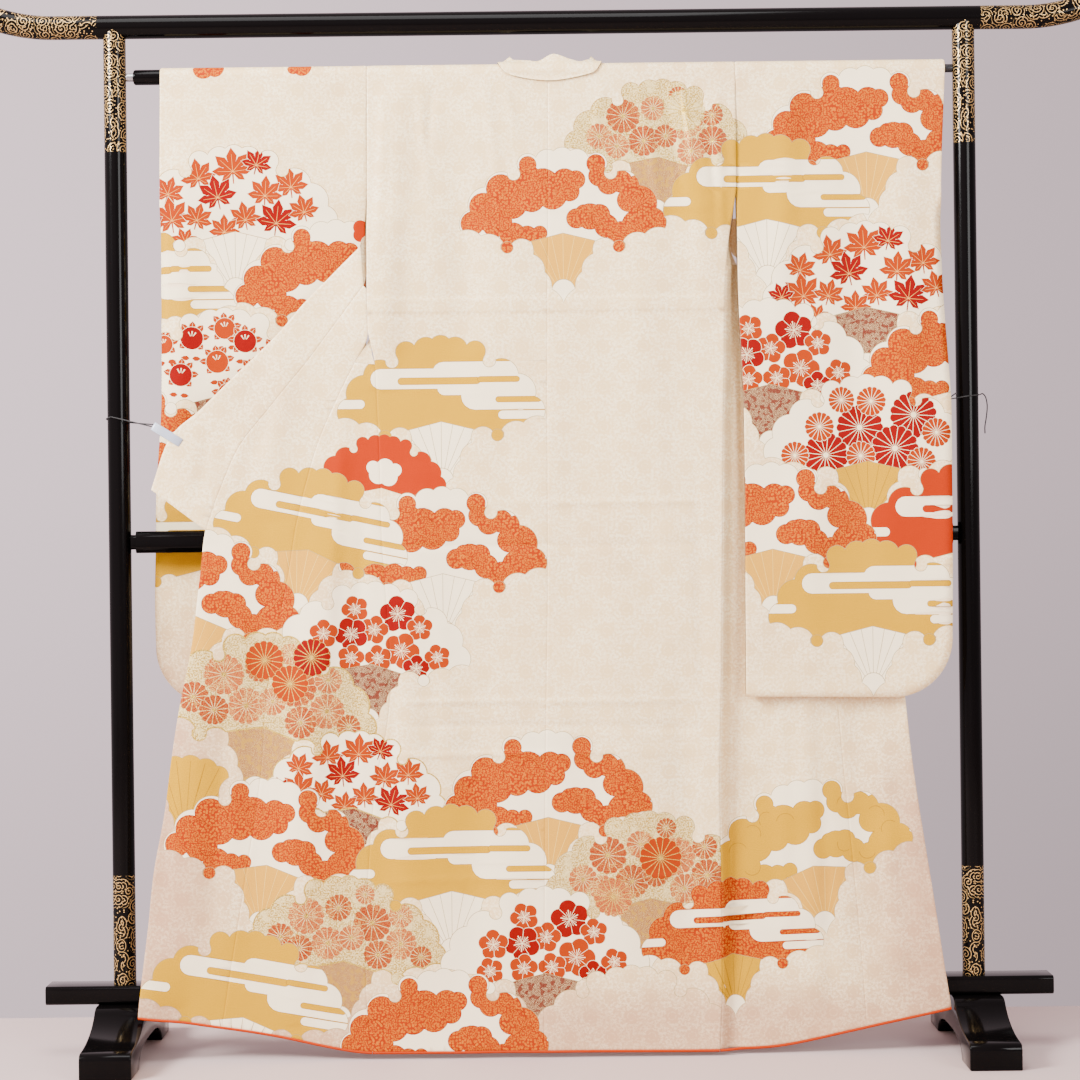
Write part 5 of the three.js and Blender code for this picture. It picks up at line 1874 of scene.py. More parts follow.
@dataclass
class Stand:
    """The lacquered kimono stand: two feet, two posts, three rails and the hanging rod."""

    finishes: "Finishes"
    post_x: float = 720.0
    post_dia: float = 38.0
    post_straight: float = 1690.0
    top_rail_z: float = 1744.0
    top_rail_dia: float = 40.0
    top_rail_half: float = 938.0
    upturn_from: float = 822.0
    upturn_rise: float = 22.0
    last_stop: float = 912.0
    cap_length: float = 15.0
    rod_dia: float = 26.0
    rod_half: float = 688.0
    rod_round: float = 4.0
    pin_dia: float = 14.0
    middle_z: float = 870.0
    middle_size: float = 37.0
    middle_chamfer: float = 9.0
    tenon_length: float = 9.0
    tenon_size: float = 25.0
    tenon_chamfer: float = 4.0
    low_top: float = 122.0
    low_tall: float = 31.0
    low_deep: float = 60.0
    low_half: float = 850.0
    low_chamfer: float = 4.0
    foot_length: float = 410.0
    foot_width: float = 85.0
    foot_tall: float = 90.7
    toe_tall: float = 31.0
    toe_crown: float = 44.0
    toe_length: float = 82.0
    arch_tall: float = 34.0
    foot_seat: float = 38.0
    gap: float = 0.3

    def upturn(self, x: float) -> float:
        """Returns how far the top rail's axis has risen at x."""
        past = max(0.0, abs(x) - self.upturn_from)
        return self.upturn_rise * (past / (self.top_rail_half - self.upturn_from)) ** 2

    def top_rail(self) -> None:
        """Builds the round top rail, whose ends sweep up."""
        near = np.linspace(-self.upturn_from, self.upturn_from, 83)
        far = np.linspace(self.upturn_from, self.top_rail_half, 17)[1:]
        stops = np.concatenate([-far[::-1], near, far])
        section = round_section(self.top_rail_dia / 2, 48)
        rings = []
        for x in stops:
            slope = math.atan2(self.upturn(x + 0.5) - self.upturn(x - 0.5), 1.0)
            z = self.top_rail_z + self.upturn(x)
            rings.append([(x - v * math.sin(slope), u, z + v * math.cos(slope)) for u, v in section])
        rail = Hard("rail_top", self.finishes, "makie_rail")
        rail.rings(np.array(rings))
        rail.build(0.8, 60)

    def cap(self, edge: Edge) -> None:
        """Builds the gilt cap on one end of the top rail."""
        r, length = self.top_rail_dia / 2, self.cap_length
        profile = curve([(0, r - 0.4), (0.6, r + 0.5), (2, r + 1), (6, r + 1), (8, r * 0.93), (11, r * 0.8),
                         (length - 2.2, r * 0.56), (length - 0.6, r * 0.3), (length, 1.0)], 0.8)
        last = self.top_rail_half
        slope = math.atan2(self.upturn(last) - self.upturn(self.last_stop), last - self.last_stop)
        side = edge.sign
        base = Vector((side * (last + self.gap * math.cos(slope)), 0,
                       self.top_rail_z + self.upturn(last) + self.gap * math.sin(slope)))
        along = Vector((side * math.cos(slope), 0, math.sin(slope)))
        up = Vector((-side * math.sin(slope), 0, math.cos(slope)))
        rings = []
        for way, radius in profile:
            centre = base + along * float(way)
            ring = round_section(float(radius), 48)
            rings.append([tuple(centre + Vector((0, u, 0)) + up * float(v)) for u, v in ring])
        cap = Hard(f"rail_cap_{edge.value}", self.finishes, "gilt", "gilt")
        cap.rings(np.array(rings))
        cap.build(0, 50)

    def post(self, edge: Edge) -> None:
        """Builds one round post, hollowed at its top to the rail that it carries."""
        section = round_section(self.post_dia / 2, 56)
        x0 = edge.sign * self.post_x
        seat = self.top_rail_dia / 2 + self.gap
        saddle = self.top_rail_z - np.sqrt(seat ** 2 - np.square(section[:, 1]))
        levels = np.linspace(self.low_top + self.gap, self.post_straight, 60)
        rings = [[(x0 + u, v, z) for u, v in section] for z in levels]
        rings.append([(x0 + u, v, 0.5 * (self.post_straight + z)) for (u, v), z in zip(section, saddle)])
        rings.append([(x0 + u, v, z) for (u, v), z in zip(section, saddle)])
        post = Hard(f"post_{edge.value}", self.finishes, "makie_post")
        post.rings(np.array(rings))
        post.build(0, 50)

    def rod(self) -> None:
        """Builds the hanging rod with its rounded ends, and its two pins."""
        r, c, h = self.rod_dia / 2, self.rod_round, self.rod_half
        turn = np.linspace(0, math.pi / 2, 7)
        ends = [(-h + c - c * math.cos(t), r - c + c * math.sin(t)) for t in turn]
        straight = [(x, r) for x in np.linspace(-h + 40, h - 40, 40)]
        profile = ends + straight + [(-x, w) for x, w in ends[::-1]]
        rod = Hard("rod_hanging", self.finishes, "lacquer")
        section = round_section(1.0, 48)
        rod.rings(np.array([[(x, w * u, ROD_Z + w * v) for u, v in section] for x, w in profile]))
        rod.build(0, 40)
        for edge, finish in ((Edge.LEFT, "pin_bright"), (Edge.RIGHT, "pin_dark")):
            start = h + self.gap
            stop = self.post_x - self.post_dia / 2 - self.gap
            pin = Hard(f"rod_pin_{edge.value}", self.finishes, finish, finish)
            ring = round_section(self.pin_dia / 2, 40)
            pin.rings(np.array([[(edge.sign * x, u, ROD_Z + v) for u, v in ring]
                                for x in np.linspace(start, stop, 4)]))
            pin.build(0.5, 40)

    def low_rail(self) -> None:
        """Builds the low rail, which lies across the feet and carries the posts."""
        section = block_section(self.low_deep, self.low_tall, self.low_chamfer)
        z, stops = self.low_top - self.low_tall / 2, np.linspace(-self.low_half, self.low_half, 60)
        rail = Hard("rail_low", self.finishes, "lacquer")
        rail.rings(np.array([[(x, u, z + v) for u, v in section] for x in stops]))
        rail.build(1.2, 25)

    def middle_rail(self) -> None:
        """Builds the middle rail with the smaller ends that enter the posts."""
        reach = self.post_x - self.post_dia / 2 - self.gap
        full, size = reach - self.tenon_length, self.middle_size
        bar = Hard("rail_middle", self.finishes, "lacquer")
        wide = block_section(size, size, self.middle_chamfer)
        small = block_section(self.tenon_size, self.tenon_size, self.tenon_chamfer)
        rows = [(-reach, small), (-full, small)] + [(x, wide) for x in np.linspace(-full, full, 50)]
        rows += [(full, small), (reach, small)]
        bar.rings(np.array([[(x, u, self.middle_z + v) for u, v in part] for x, part in rows]))
        bar.build(1.2, 25)

    def foot(self, edge: Edge) -> None:
        """Builds one foot: toes, an arch between them and a crown swept up to the low rail."""
        half, crown = self.foot_length / 2, self.toe_crown

        def bend(points: Sequence[Point2], count: int) -> List[Point2]:
            """Returns points on a Bezier curve, without its first."""
            made = []
            for t in np.arange(1, count + 1) / count:
                level = [np.array(p, float) for p in points]
                while len(level) > 1:
                    level = [mix(a, b, t) for a, b in zip(level, level[1:])]
                made.append(tuple(level[0]))
            return made

        tall = self.foot_tall
        crest = [(-half, self.toe_tall)]
        crest += bend([crest[-1], (-half, crown - 2), (-half + 12, crown)], 8)
        crest += bend([crest[-1], (-110, crown + 4), (-80, 66), (-62, 80)], 14)
        crest += bend([crest[-1], (-52, tall), (-self.foot_seat, tall)], 8)
        arch = half - self.toe_length
        hollow = [(arch, 0.0)] + bend([(arch, 0), (arch - 12, self.arch_tall), (60, self.arch_tall),
                                      (0, self.arch_tall)], 14)
        outline = [(-half, 0.0)] + crest + [(-y, z) for y, z in crest[::-1]] + [(half, 0.0)]
        outline += hollow + [(-y, z) for y, z in hollow[-2::-1]]
        x0, w = edge.sign * self.post_x, self.foot_width / 2
        foot = Hard(f"foot_{edge.value}", self.finishes, "lacquer")
        foot.rings(np.array([[(x0 + s * w, y, z) for y, z in outline] for s in (-1, 1)]))
        foot.build(2.4, 40)

    def build(self) -> None:
        """Builds the whole stand."""
        self.top_rail()
        self.rod()
        self.middle_rail()
        self.low_rail()
        for edge in Edge:
            self.cap(edge)
            self.post(edge)
            self.foot(edge)


# ----------------------------------------------------------------------------- clips and strings
@dataclass(frozen=True)
class ClipPlace:
    """Where a clip bites the collar's edge, in millimetres."""

    x: float
    z: float
    depth: Surface


@dataclass
class Holders:
    """The two sprung clips and the elastic strings that tie them to the posts."""

    finishes: "Finishes"
    length: float = 56.0
    width: float = 15.0
    slot: float = 5.0
    jaw: float = 2.0
    slot_depth: float = 34.0
    tilt: float = 32.0
    string: float = 1.0
    step: float = 3.0
    ring: float = 20.6
    spread: float = 8.0
    rise: float = 14.0
    gap: float = 0.3
    post_x: float = 720.0
    knot: Tuple[float, float, float] = (742.2, 0.0, 1104.2)
    loose: Tuple[Tuple[float, float, float], ...] = (
        (0, 0, 0), (4, -1, 1.5), (9, -2, -5), (11.5, -1.5, -20), (10, -0.5, -38), (7.5, 0, -54),
        (7.5, 0, -66),
    )

    def frame(self, edge: Edge, place: ClipPlace) -> Tuple[Vector, Vector, Vector, Vector]:
        """Returns a clip's middle and its directions along, deep and wide."""
        turn = math.radians(self.tilt)
        along = Vector((edge.sign * math.cos(turn), 0, math.sin(turn)))
        deep = Vector((0, 1, 0))
        wide = along.cross(deep)
        at = Vector((place.x, 0, place.z))
        bite = at + along * ((self.slot_depth - self.length) / 2)
        at.y = float(place.depth(bite.x, bite.z))
        return at, along, deep, wide

    def clip(self, edge: Edge, place: ClipPlace) -> None:
        """Builds one clip: two sprung jaws joined at the tail, with rounded corners."""
        at, along, deep, wide = self.frame(edge, place)
        half, thick, tip = self.slot / 2, self.slot / 2 + self.jaw, -self.length / 2
        throat, tail = tip + self.slot_depth, self.length / 2
        profile = [(tip, -half), (tip + 3, -thick), (tip + 20, -thick - 0.3), (throat + 4, -thick),
                   (tail - 3, -thick), (tail - 0.8, -thick + 1), (tail, -thick + 3), (tail, thick - 3),
                   (tail - 0.8, thick - 1), (tail - 3, thick), (throat + 4, thick), (tip + 20, thick + 0.3),
                   (tip + 3, thick), (tip, half), (throat - 1, half), (throat, half - 1),
                   (throat, 1 - half), (throat - 1, -half)]
        shares = ((-1.0, 0.86), (-0.9, 1.0), (0.9, 1.0), (1.0, 0.86))
        rings = []
        for share, shrink in shares:
            ring = []
            for way, out in profile:
                point = at + along * way + deep * (out * (1.0 if abs(out) <= half else shrink)) \
                    + wide * (share * self.width / 2)
                ring.append(tuple(point))
            rings.append(ring)
        clip = Hard(f"clip_{edge.value}", self.finishes, "clip", "clip")
        clip.rings(np.array(rings))
        clip.build(0.5, 35)

    def tube(self, name: str, points: Sequence[Sequence[float]], node: str) -> bpy.types.Object:
        """Makes a round string as a curve.

        Args:
            name: The string's name.
            points: What it runs through, in millimetres.
            node: The solid that it replaces.

        Returns:
            The string.
        """
        path = curve(points, self.step) * MM
        line = bpy.data.curves.new(name, "CURVE")
        line.dimensions = "3D"
        line.bevel_depth = self.string * MM
        line.bevel_resolution = 4
        line.use_fill_caps = True
        spline = line.splines.new("POLY")
        spline.points.add(len(path) - 1)
        for point, place in zip(spline.points, path):
            point.co = (*place, 1)
        spline.use_smooth = True
        line.materials.append(self.finishes.material("elastic"))
        return placed(name, line, node, "elastic")

    def string_round(self, edge: Edge, place: ClipPlace) -> None:
        """Builds the string from a clip's tail round its post and back."""
        at, along, _, wide = self.frame(edge, place)
        side = edge.sign
        tail = at + along * (self.length / 2 + self.gap + self.string)
        start = tail - wide * (2 * self.string * side)
        post_x = side * self.post_x
        away = math.atan2(start.y, start.x - post_x)
        touch = math.acos(self.ring / math.hypot(start.y, start.x - post_x))
        points = [tuple(start)]
        for k in range(25):
            share = k / 24
            angle = away - touch - share * (2 * math.pi - 2 * touch)
            points.append((post_x + self.ring * math.cos(angle), self.ring * math.sin(angle),
                           start.z + self.rise - self.spread * (share - 0.5)))
        points.append(tuple(tail + wide * (2 * self.string * side)))
        self.tube(f"elastic_{edge.value}", points, f"string_{edge.value}")

    def loose_end(self) -> None:
        """Builds the string's loose end, which hangs from its knot on the right post."""
        knot = np.array(self.knot)
        points = [tuple(knot + np.array(step)) for step in self.loose]
        path = curve(points, self.step) * MM
        piece = self.tube("elastic_end_right", points, "string_end_right")
        length = float(np.linalg.norm(np.diff(path, axis=0), axis=1).sum())

    def build(self, places: Dict[Edge, ClipPlace]) -> None:
        """Builds both clips, both strings and the loose end."""
        for edge, place in places.items():
            self.clip(edge, place)
            self.string_round(edge, place)
        self.loose_end()


# ----------------------------------------------------------------------------- finishes
Colour = Tuple[float, float, float]
Socket = bpy.types.NodeSocket


@dataclass
class Graph:
    """A material's nodes, with short ways to add the ones that the finishes use."""

    material: bpy.types.Material

    @property
    def shader(self) -> bpy.types.Node:
        """Returns the material's main shader."""
        return self.material.node_tree.nodes["Principled BSDF"]

    def node(self, kind: str, **settings: object) -> bpy.types.Node:
        """Adds a node and sets its properties."""
        made = self.material.node_tree.nodes.new(kind)
        for name, value in settings.items():
            setattr(made, name, value)
        return made

    def feed(self, socket: Socket, value: object) -> None:
        """Links a socket, or sets its value when it is given a number, a colour or a vector."""
        if isinstance(value, bpy.types.NodeSocket):
            self.material.node_tree.links.new(value, socket)
        elif isinstance(value, tuple) and socket.type == "RGBA":
            socket.default_value = (*value, 1)
        else:
            socket.default_value = value

    def sum(self, operation: str, *values: object) -> Socket:
        """Returns the result of a sum on numbers."""
        made = self.node("ShaderNodeMath", operation=operation)
        for socket, value in zip(made.inputs, values):
            self.feed(socket, value)
        return made.outputs[0]

    def times(self, first: object, second: object) -> Socket:
        """Returns a product."""
        return self.sum("MULTIPLY", first, second)

    def plus(self, first: object, second: object) -> Socket:
        """Returns a sum of two numbers."""
        return self.sum("ADD", first, second)

    def minus(self, first: object, second: object) -> Socket:
        """Returns a difference."""
        return self.sum("SUBTRACT", first, second)

    def reach(self, x: Socket, y: Socket) -> Socket:
        """Returns how far a flat place lies from its middle."""
        return self.sum("SQRT", self.plus(self.times(x, x), self.times(y, y)))

    def vector(self, operation: str, first: object, second: object) -> Socket:
        """Returns the result of a sum on two vectors."""
        made = self.node("ShaderNodeVectorMath", operation=operation)
        self.feed(made.inputs[0], first)
        self.feed(made.inputs[1], second)
        return made.outputs[0]

    def in_mm(self, place: Socket) -> Socket:
        """Returns a place in metres as millimetres."""
        made = self.node("ShaderNodeVectorMath", operation="SCALE")
        self.feed(made.inputs[0], place)
        made.inputs[3].default_value = 1 / MM
        return made.outputs[0]

    def cloth(self) -> Socket:
        """Returns the place on the flat cloth, in millimetres."""
        return self.in_mm(self.node("ShaderNodeUVMap", uv_map="cloth").outputs[0])

    def place(self) -> Socket:
        """Returns the place in space, in millimetres."""
        return self.in_mm(self.node("ShaderNodeTexCoord").outputs["Object"])

    def parts(self, vector: Socket) -> Sequence[Socket]:
        """Returns a vector's three numbers."""
        made = self.node("ShaderNodeSeparateXYZ")
        self.feed(made.inputs[0], vector)
        return made.outputs

    def flat(self, x: Socket, y: Socket) -> Socket:
        """Returns a flat place."""
        made = self.node("ShaderNodeCombineXYZ")
        self.feed(made.inputs[0], x)
        self.feed(made.inputs[1], y)
        return made.outputs[0]

    def noise(self, at: Socket, size: float, detail: float = 2.0, rough: float = 0.5) -> Socket:
        """Returns a soft random field whose spots are about size millimetres across."""
        made = self.node("ShaderNodeTexNoise")
        self.feed(made.inputs["Vector"], at)
        made.inputs["Scale"].default_value = 1 / size
        made.inputs["Detail"].default_value = detail
        made.inputs["Roughness"].default_value = rough
        return made.outputs["Fac"]

    def cells(self, at: Socket, size: float, uneven: float = 1.0) -> bpy.types.Node:
        """Returns a node of cells of a size, in millimetres, laid flat."""
        made = self.node("ShaderNodeTexVoronoi", voronoi_dimensions="2D")
        self.feed(made.inputs["Vector"], at)
        made.inputs["Scale"].default_value = 1 / size
        made.inputs["Randomness"].default_value = uneven
        return made

    def step(self, value: Socket, low: float, high: float, to_low: float = 0.0,
             to_high: float = 1.0) -> Socket:
        """Returns a smooth step from to_low at low to to_high at high."""
        made = self.node("ShaderNodeMapRange", interpolation_type="SMOOTHSTEP")
        for socket, number in zip(made.inputs, (value, low, high, to_low, to_high)):
            self.feed(socket, number)
        return made.outputs[0]

    def blend(self, share: object, first: object, second: object) -> Socket:
        """Returns a colour between two colours."""
        made = self.node("ShaderNodeMix", data_type="RGBA")
        for socket, value in zip((made.inputs[0], made.inputs[6], made.inputs[7]), (share, first, second)):
            self.feed(socket, value)
        return made.outputs[2]

    def bump(self, height: Socket, deep: float) -> None:
        """Raises the surface by a height, deep millimetres where it is 1."""
        made = self.node("ShaderNodeBump")
        made.inputs["Distance"].default_value = deep * MM
        self.feed(made.inputs["Height"], height)
        self.feed(self.shader.inputs["Normal"], made.outputs[0])

    def finish(self, colour: object, rough: object, metal: object = 0.0, shine: float = 0.5) -> None:
        """Sets the shader's main values."""
        self.feed(self.shader.inputs["Base Color"], colour)
        self.feed(self.shader.inputs["Roughness"], rough)
        self.feed(self.shader.inputs["Metallic"], metal)
        self.shader.inputs["Specular IOR Level"].default_value = shine


def weave(graph: Graph, deep: float = 0.10) -> Socket:
    """Raises the silk's fine crepe grain and returns that grain, from 0 to 1."""
    at = graph.cloth()
    grain = graph.noise(at, 1.6, 2.0, 0.6)
    puckers = graph.noise(at, 34, 2.0, 0.5)
    height = graph.sum("MULTIPLY_ADD", puckers, 9.0, grain)
    graph.bump(height, deep)
    return grain


@dataclass(frozen=True)
class Dye:
    """A flat dye on the crepe ground, with a trace of the damask's grain."""

    colour: Colour
    shade: float = 0.05
    metal: float = 0.0
    rough: float = 0.55

    def paint(self, graph: Graph) -> None:
        """Fills the material's nodes."""
        grain = weave(graph)
        deep = tuple(max(0.0, c * (1 - 2 * self.shade)) for c in self.colour)
        colour = graph.blend(graph.step(grain, 0.35, 0.65), deep, self.colour)
        graph.finish(colour, self.rough, self.metal, shine=0.04)


@dataclass(frozen=True)
class Damask:
    """Figured silk: round flower medallions and sprigs that shine against a matt ground; the shine is
    painted sheen, a lighter colour where the silk glints, as well as a lower roughness.
    """

    ground: Colour = (0.80, 0.575, 0.275)
    # The lighter colour is painted sheen, given where the silk glints.
    figure_and_sheen: Colour = (0.96, 0.83, 0.53)
    # A darker rosy colour: a rosy dye, with painted shade at the low outer edges and the foot.
    pink_and_shade: Colour = (0.49, 0.275, 0.150)
    pitch: float = 68.0
    medallion: float = 13.0
    tint: float = 1.0

    def medallions(self, graph: Graph, at: Socket) -> Socket:
        """Returns 1 within the medallions and sprigs, fading at their edges."""
        turned = graph.node("ShaderNodeVectorRotate", rotation_type="Z_AXIS")
        graph.feed(turned.inputs["Vector"], at)
        turned.inputs["Angle"].default_value = math.radians(45)
        cells = graph.cells(turned.outputs[0], self.pitch / math.sqrt(2), 0.0)
        local = graph.vector("SUBTRACT", turned.outputs[0], cells.outputs["Position"])
        x, z, _ = graph.parts(local)
        angle = graph.sum("ARCTAN2", z, x)
        away = graph.reach(x, z)
        petals = graph.times(graph.sum("COSINE", graph.times(angle, 8.0)), 1.3)
        edge = graph.minus(away, petals)
        round_part = graph.step(edge, self.medallion, self.medallion - 2.5)
        from_ring = graph.sum("ABSOLUTE", graph.minus(away, self.medallion * 0.5))
        ring = graph.step(from_ring, 0.5, 1.4, 0.35, 1.0)
        sprigs = graph.cells(graph.vector("ADD", at, (31.0, 17.0, 0.0)), 15.0, 0.9)
        leaf = graph.step(sprigs.outputs["Distance"], 0.30, 0.18, 0.0, 0.55)
        return graph.sum("MAXIMUM", graph.times(round_part, ring), leaf)

    def paint(self, graph: Graph) -> None:
        """Fills the material's nodes."""
        at = graph.cloth()
        grain = weave(graph, 0.12)
        figure_and_sheen = self.medallions(graph, at)
        # Painted sheen: speckled glints, few within the medallions and fewer in the darker rosy places, take
        # the lighter colour and a lower roughness.
        painted_glints = graph.step(graph.noise(at, 4.6, 3.0, 0.75), 0.40, 0.60)
        lit = graph.times(graph.sum("MULTIPLY_ADD", figure_and_sheen, -0.85, 0.92), painted_glints)
        lit = graph.times(lit, graph.step(graph.noise(at, 60, 2.0), 0.25, 0.65, 0.5, 1.0))
        pink_and_shade_mask = self.pink_and_shade_share(graph, at)
        ground = graph.blend(pink_and_shade_mask, self.ground, self.pink_and_shade)
        lit = graph.times(lit, graph.sum("MULTIPLY_ADD", pink_and_shade_mask, -0.7, 1.0))
        colour = graph.blend(lit, ground, self.figure_and_sheen)
        rough = graph.sum("MULTIPLY_ADD", lit, -0.22, 0.56)
        graph.finish(colour, rough, shine=0.45)

    def pink_and_shade_share(self, graph: Graph, at: Socket) -> Socket:
        """Returns where the ground turns a darker rosy colour: low outer edges, the foot and between the
        motifs. The rosy tint is dye; its darkness at the low outer edges and the foot is painted shade.
        """
        x, z, _ = graph.parts(at)
        left = graph.times(graph.step(x, -430, -640), graph.step(z, 860, 520))
        right = graph.times(graph.step(x, 430, 640), graph.step(z, 640, 380))
        # Painted shade: the ground darkens towards the foot of the garment.
        foot = graph.times(graph.step(z, 170, 60), 0.9)
        soft = graph.step(graph.noise(at, 300, 1.0, 0.5), 0.5, 0.75, 0.0, 0.28)
        both = graph.sum("MAXIMUM", graph.sum("MAXIMUM", left, right), graph.sum("MAXIMUM", foot, soft))
        return graph.times(both, self.tint)


@dataclass(frozen=True)
class Kanoko:
    """Tie-dye grain: tight rows of tiny pale rings, some rows larger than others."""

    colour: Colour = (0.30, 0.024, 0.0003)
    pale: Colour = (0.56, 0.165, 0.006)
    fine: float = 3.0
    coarse: float = 4.8

    def rings(self, graph: Graph, at: Socket, size: float) -> Socket:
        """Returns 1 on the pale rings of one size."""
        away = graph.cells(at, size, 0.8).outputs["Distance"]
        outer = graph.step(away, 0.44, 0.30)
        hole = graph.step(away, 0.08, 0.16)
        return graph.times(outer, hole)

    def paint(self, graph: Graph) -> None:
        """Fills the material's nodes."""
        weave(graph)
        at = graph.cloth()
        large = graph.step(graph.noise(at, 34, 1.0), 0.50, 0.54)
        small_rings, large_rings = self.rings(graph, at, self.fine), self.rings(graph, at, self.coarse)
        share = graph.plus(graph.times(graph.minus(1.0, large), small_rings),
                          graph.times(large, large_rings))
        share = graph.times(share, graph.step(graph.noise(at, 9, 1.0), 0.3, 0.7, 0.55, 0.95))
        graph.finish(graph.blend(share, self.colour, self.pale), 0.55, shine=0.04)


@dataclass(frozen=True)
class Speckle:
    """A ground crowded with fine curling lines and a few fuller spots."""

    ground: Colour
    line: Colour
    spot: Colour
    size: float = 3.4
    metal: float = 0.0

    def paint(self, graph: Graph) -> None:
        """Fills the material's nodes."""
        weave(graph)
        at = graph.cloth()
        cells = graph.cells(at, self.size, 0.9)
        rings = graph.sum("FRACT", graph.times(cells.outputs["Distance"], 2.6))
        lines = graph.step(graph.sum("ABSOLUTE", graph.minus(rings, 0.5)), 0.38, 0.28)
        spots = graph.step(graph.noise(at, 9, 2.0), 0.52, 0.58)
        colour = graph.blend(lines, self.ground, self.line)
        colour = graph.blend(graph.times(spots, 0.8), colour, self.spot)
        graph.finish(colour, 0.5, self.metal, shine=0.08)


@dataclass(frozen=True)
class Foil:
    """Woven gold: a pale ground broken by glinting flecks."""

    ground: Colour
    fleck: Colour
    size: float = 2.6
    cover: float = 0.5
    metal: float = 0.75
    rough: float = 0.36

    def paint(self, graph: Graph) -> None:
        """Fills the material's nodes."""
        at = graph.cloth()
        weave(graph, 0.16)
        patches = graph.step(graph.noise(at, 22, 3.0, 0.6), 0.62 - 0.3 * self.cover, 0.78 - 0.3 * self.cover)
        flecks = graph.step(graph.noise(at, self.size, 2.0, 0.7), 0.44, 0.56)
        share = graph.times(flecks, graph.sum("MULTIPLY_ADD", patches, 0.7, 0.3))
        metal = graph.times(share, self.metal)
        graph.finish(graph.blend(share, self.ground, self.fleck), self.rough, metal, shine=0.15)


@dataclass(frozen=True)
class Thread:
    """Couched metal thread: a bright twisted cord laid on the cloth."""

    colour: Colour = (0.66, 0.46, 0.16)
    bright: Colour = (0.95, 0.80, 0.45)

    def paint(self, graph: Graph) -> None:
        """Fills the material's nodes."""
        at = graph.cloth()
        twist = graph.step(graph.noise(at, 1.3, 1.0), 0.4, 0.6)
        graph.bump(twist, 0.3)
        graph.finish(graph.blend(twist, self.colour, self.bright), 0.33, 0.85)


@dataclass(frozen=True)
class Hardware:
    """A plain hard finish."""

    colour: Colour
    rough: float = 0.3
    metal: float = 0.0
    shine: float = 0.5

    def paint(self, graph: Graph) -> None:
        """Fills the material's nodes."""
        graph.finish(self.colour, self.rough, self.metal, self.shine)


class Round(Enum):
    """What a gold-scrolled piece goes round: the way of a post or of the top rail."""

    POST = "post"
    RAIL = "rail"


@dataclass(frozen=True)
class GoldScroll:
    """Black lacquer with curling gold tendrils in bands at the ends of a round bar."""

    around: Round
    radius: float
    axis: float
    high: float
    low: float
    lacquer: Colour = (0.0015, 0.0012, 0.0012)
    gold: Colour = (0.58, 0.38, 0.15)
    cell: float = 25.0

    def paint(self, graph: Graph) -> None:
        """Fills the material's nodes."""
        x, y, z = graph.parts(graph.place())
        if self.around is Round.POST:
            side = graph.minus(graph.sum("ABSOLUTE", x), self.axis)
            angle, along = graph.sum("ARCTAN2", side, y), z
            above = graph.step(z, self.high - 1, self.high + 1)
            band = graph.plus(above, graph.step(z, self.low + 1, self.low - 1))
        else:
            angle, along = graph.sum("ARCTAN2", graph.minus(z, self.axis), y), x
            band = graph.step(graph.sum("ABSOLUTE", x), self.high - 1, self.high + 1)
        flat = graph.flat(graph.times(angle, self.radius), along)
        cells = graph.cells(flat, self.cell, 0.75)
        u, v, _ = graph.parts(graph.vector("SUBTRACT", flat, cells.outputs["Position"]))
        reach = graph.reach(u, v)
        turn = graph.sum("DIVIDE", graph.sum("ARCTAN2", v, u), 2 * math.pi)
        curl = graph.sum("FRACT", graph.plus(turn, graph.times(reach, 0.19)))
        line = graph.step(graph.sum("ABSOLUTE", graph.minus(curl, 0.5)), 0.12, 0.075)
        line = graph.times(line, graph.step(reach, self.cell * 0.62, self.cell * 0.5))
        leaves = graph.step(graph.cells(flat, 7.5, 1.0).outputs["Distance"], 0.17, 0.11)
        share = graph.times(graph.sum("MAXIMUM", line, leaves), graph.sum("MINIMUM", band, 1.0))
        rough = graph.sum("MULTIPLY_ADD", share, 0.2, 0.12)
        graph.finish(graph.blend(share, self.lacquer, self.gold), rough, graph.times(share, 0.6), 0.08)


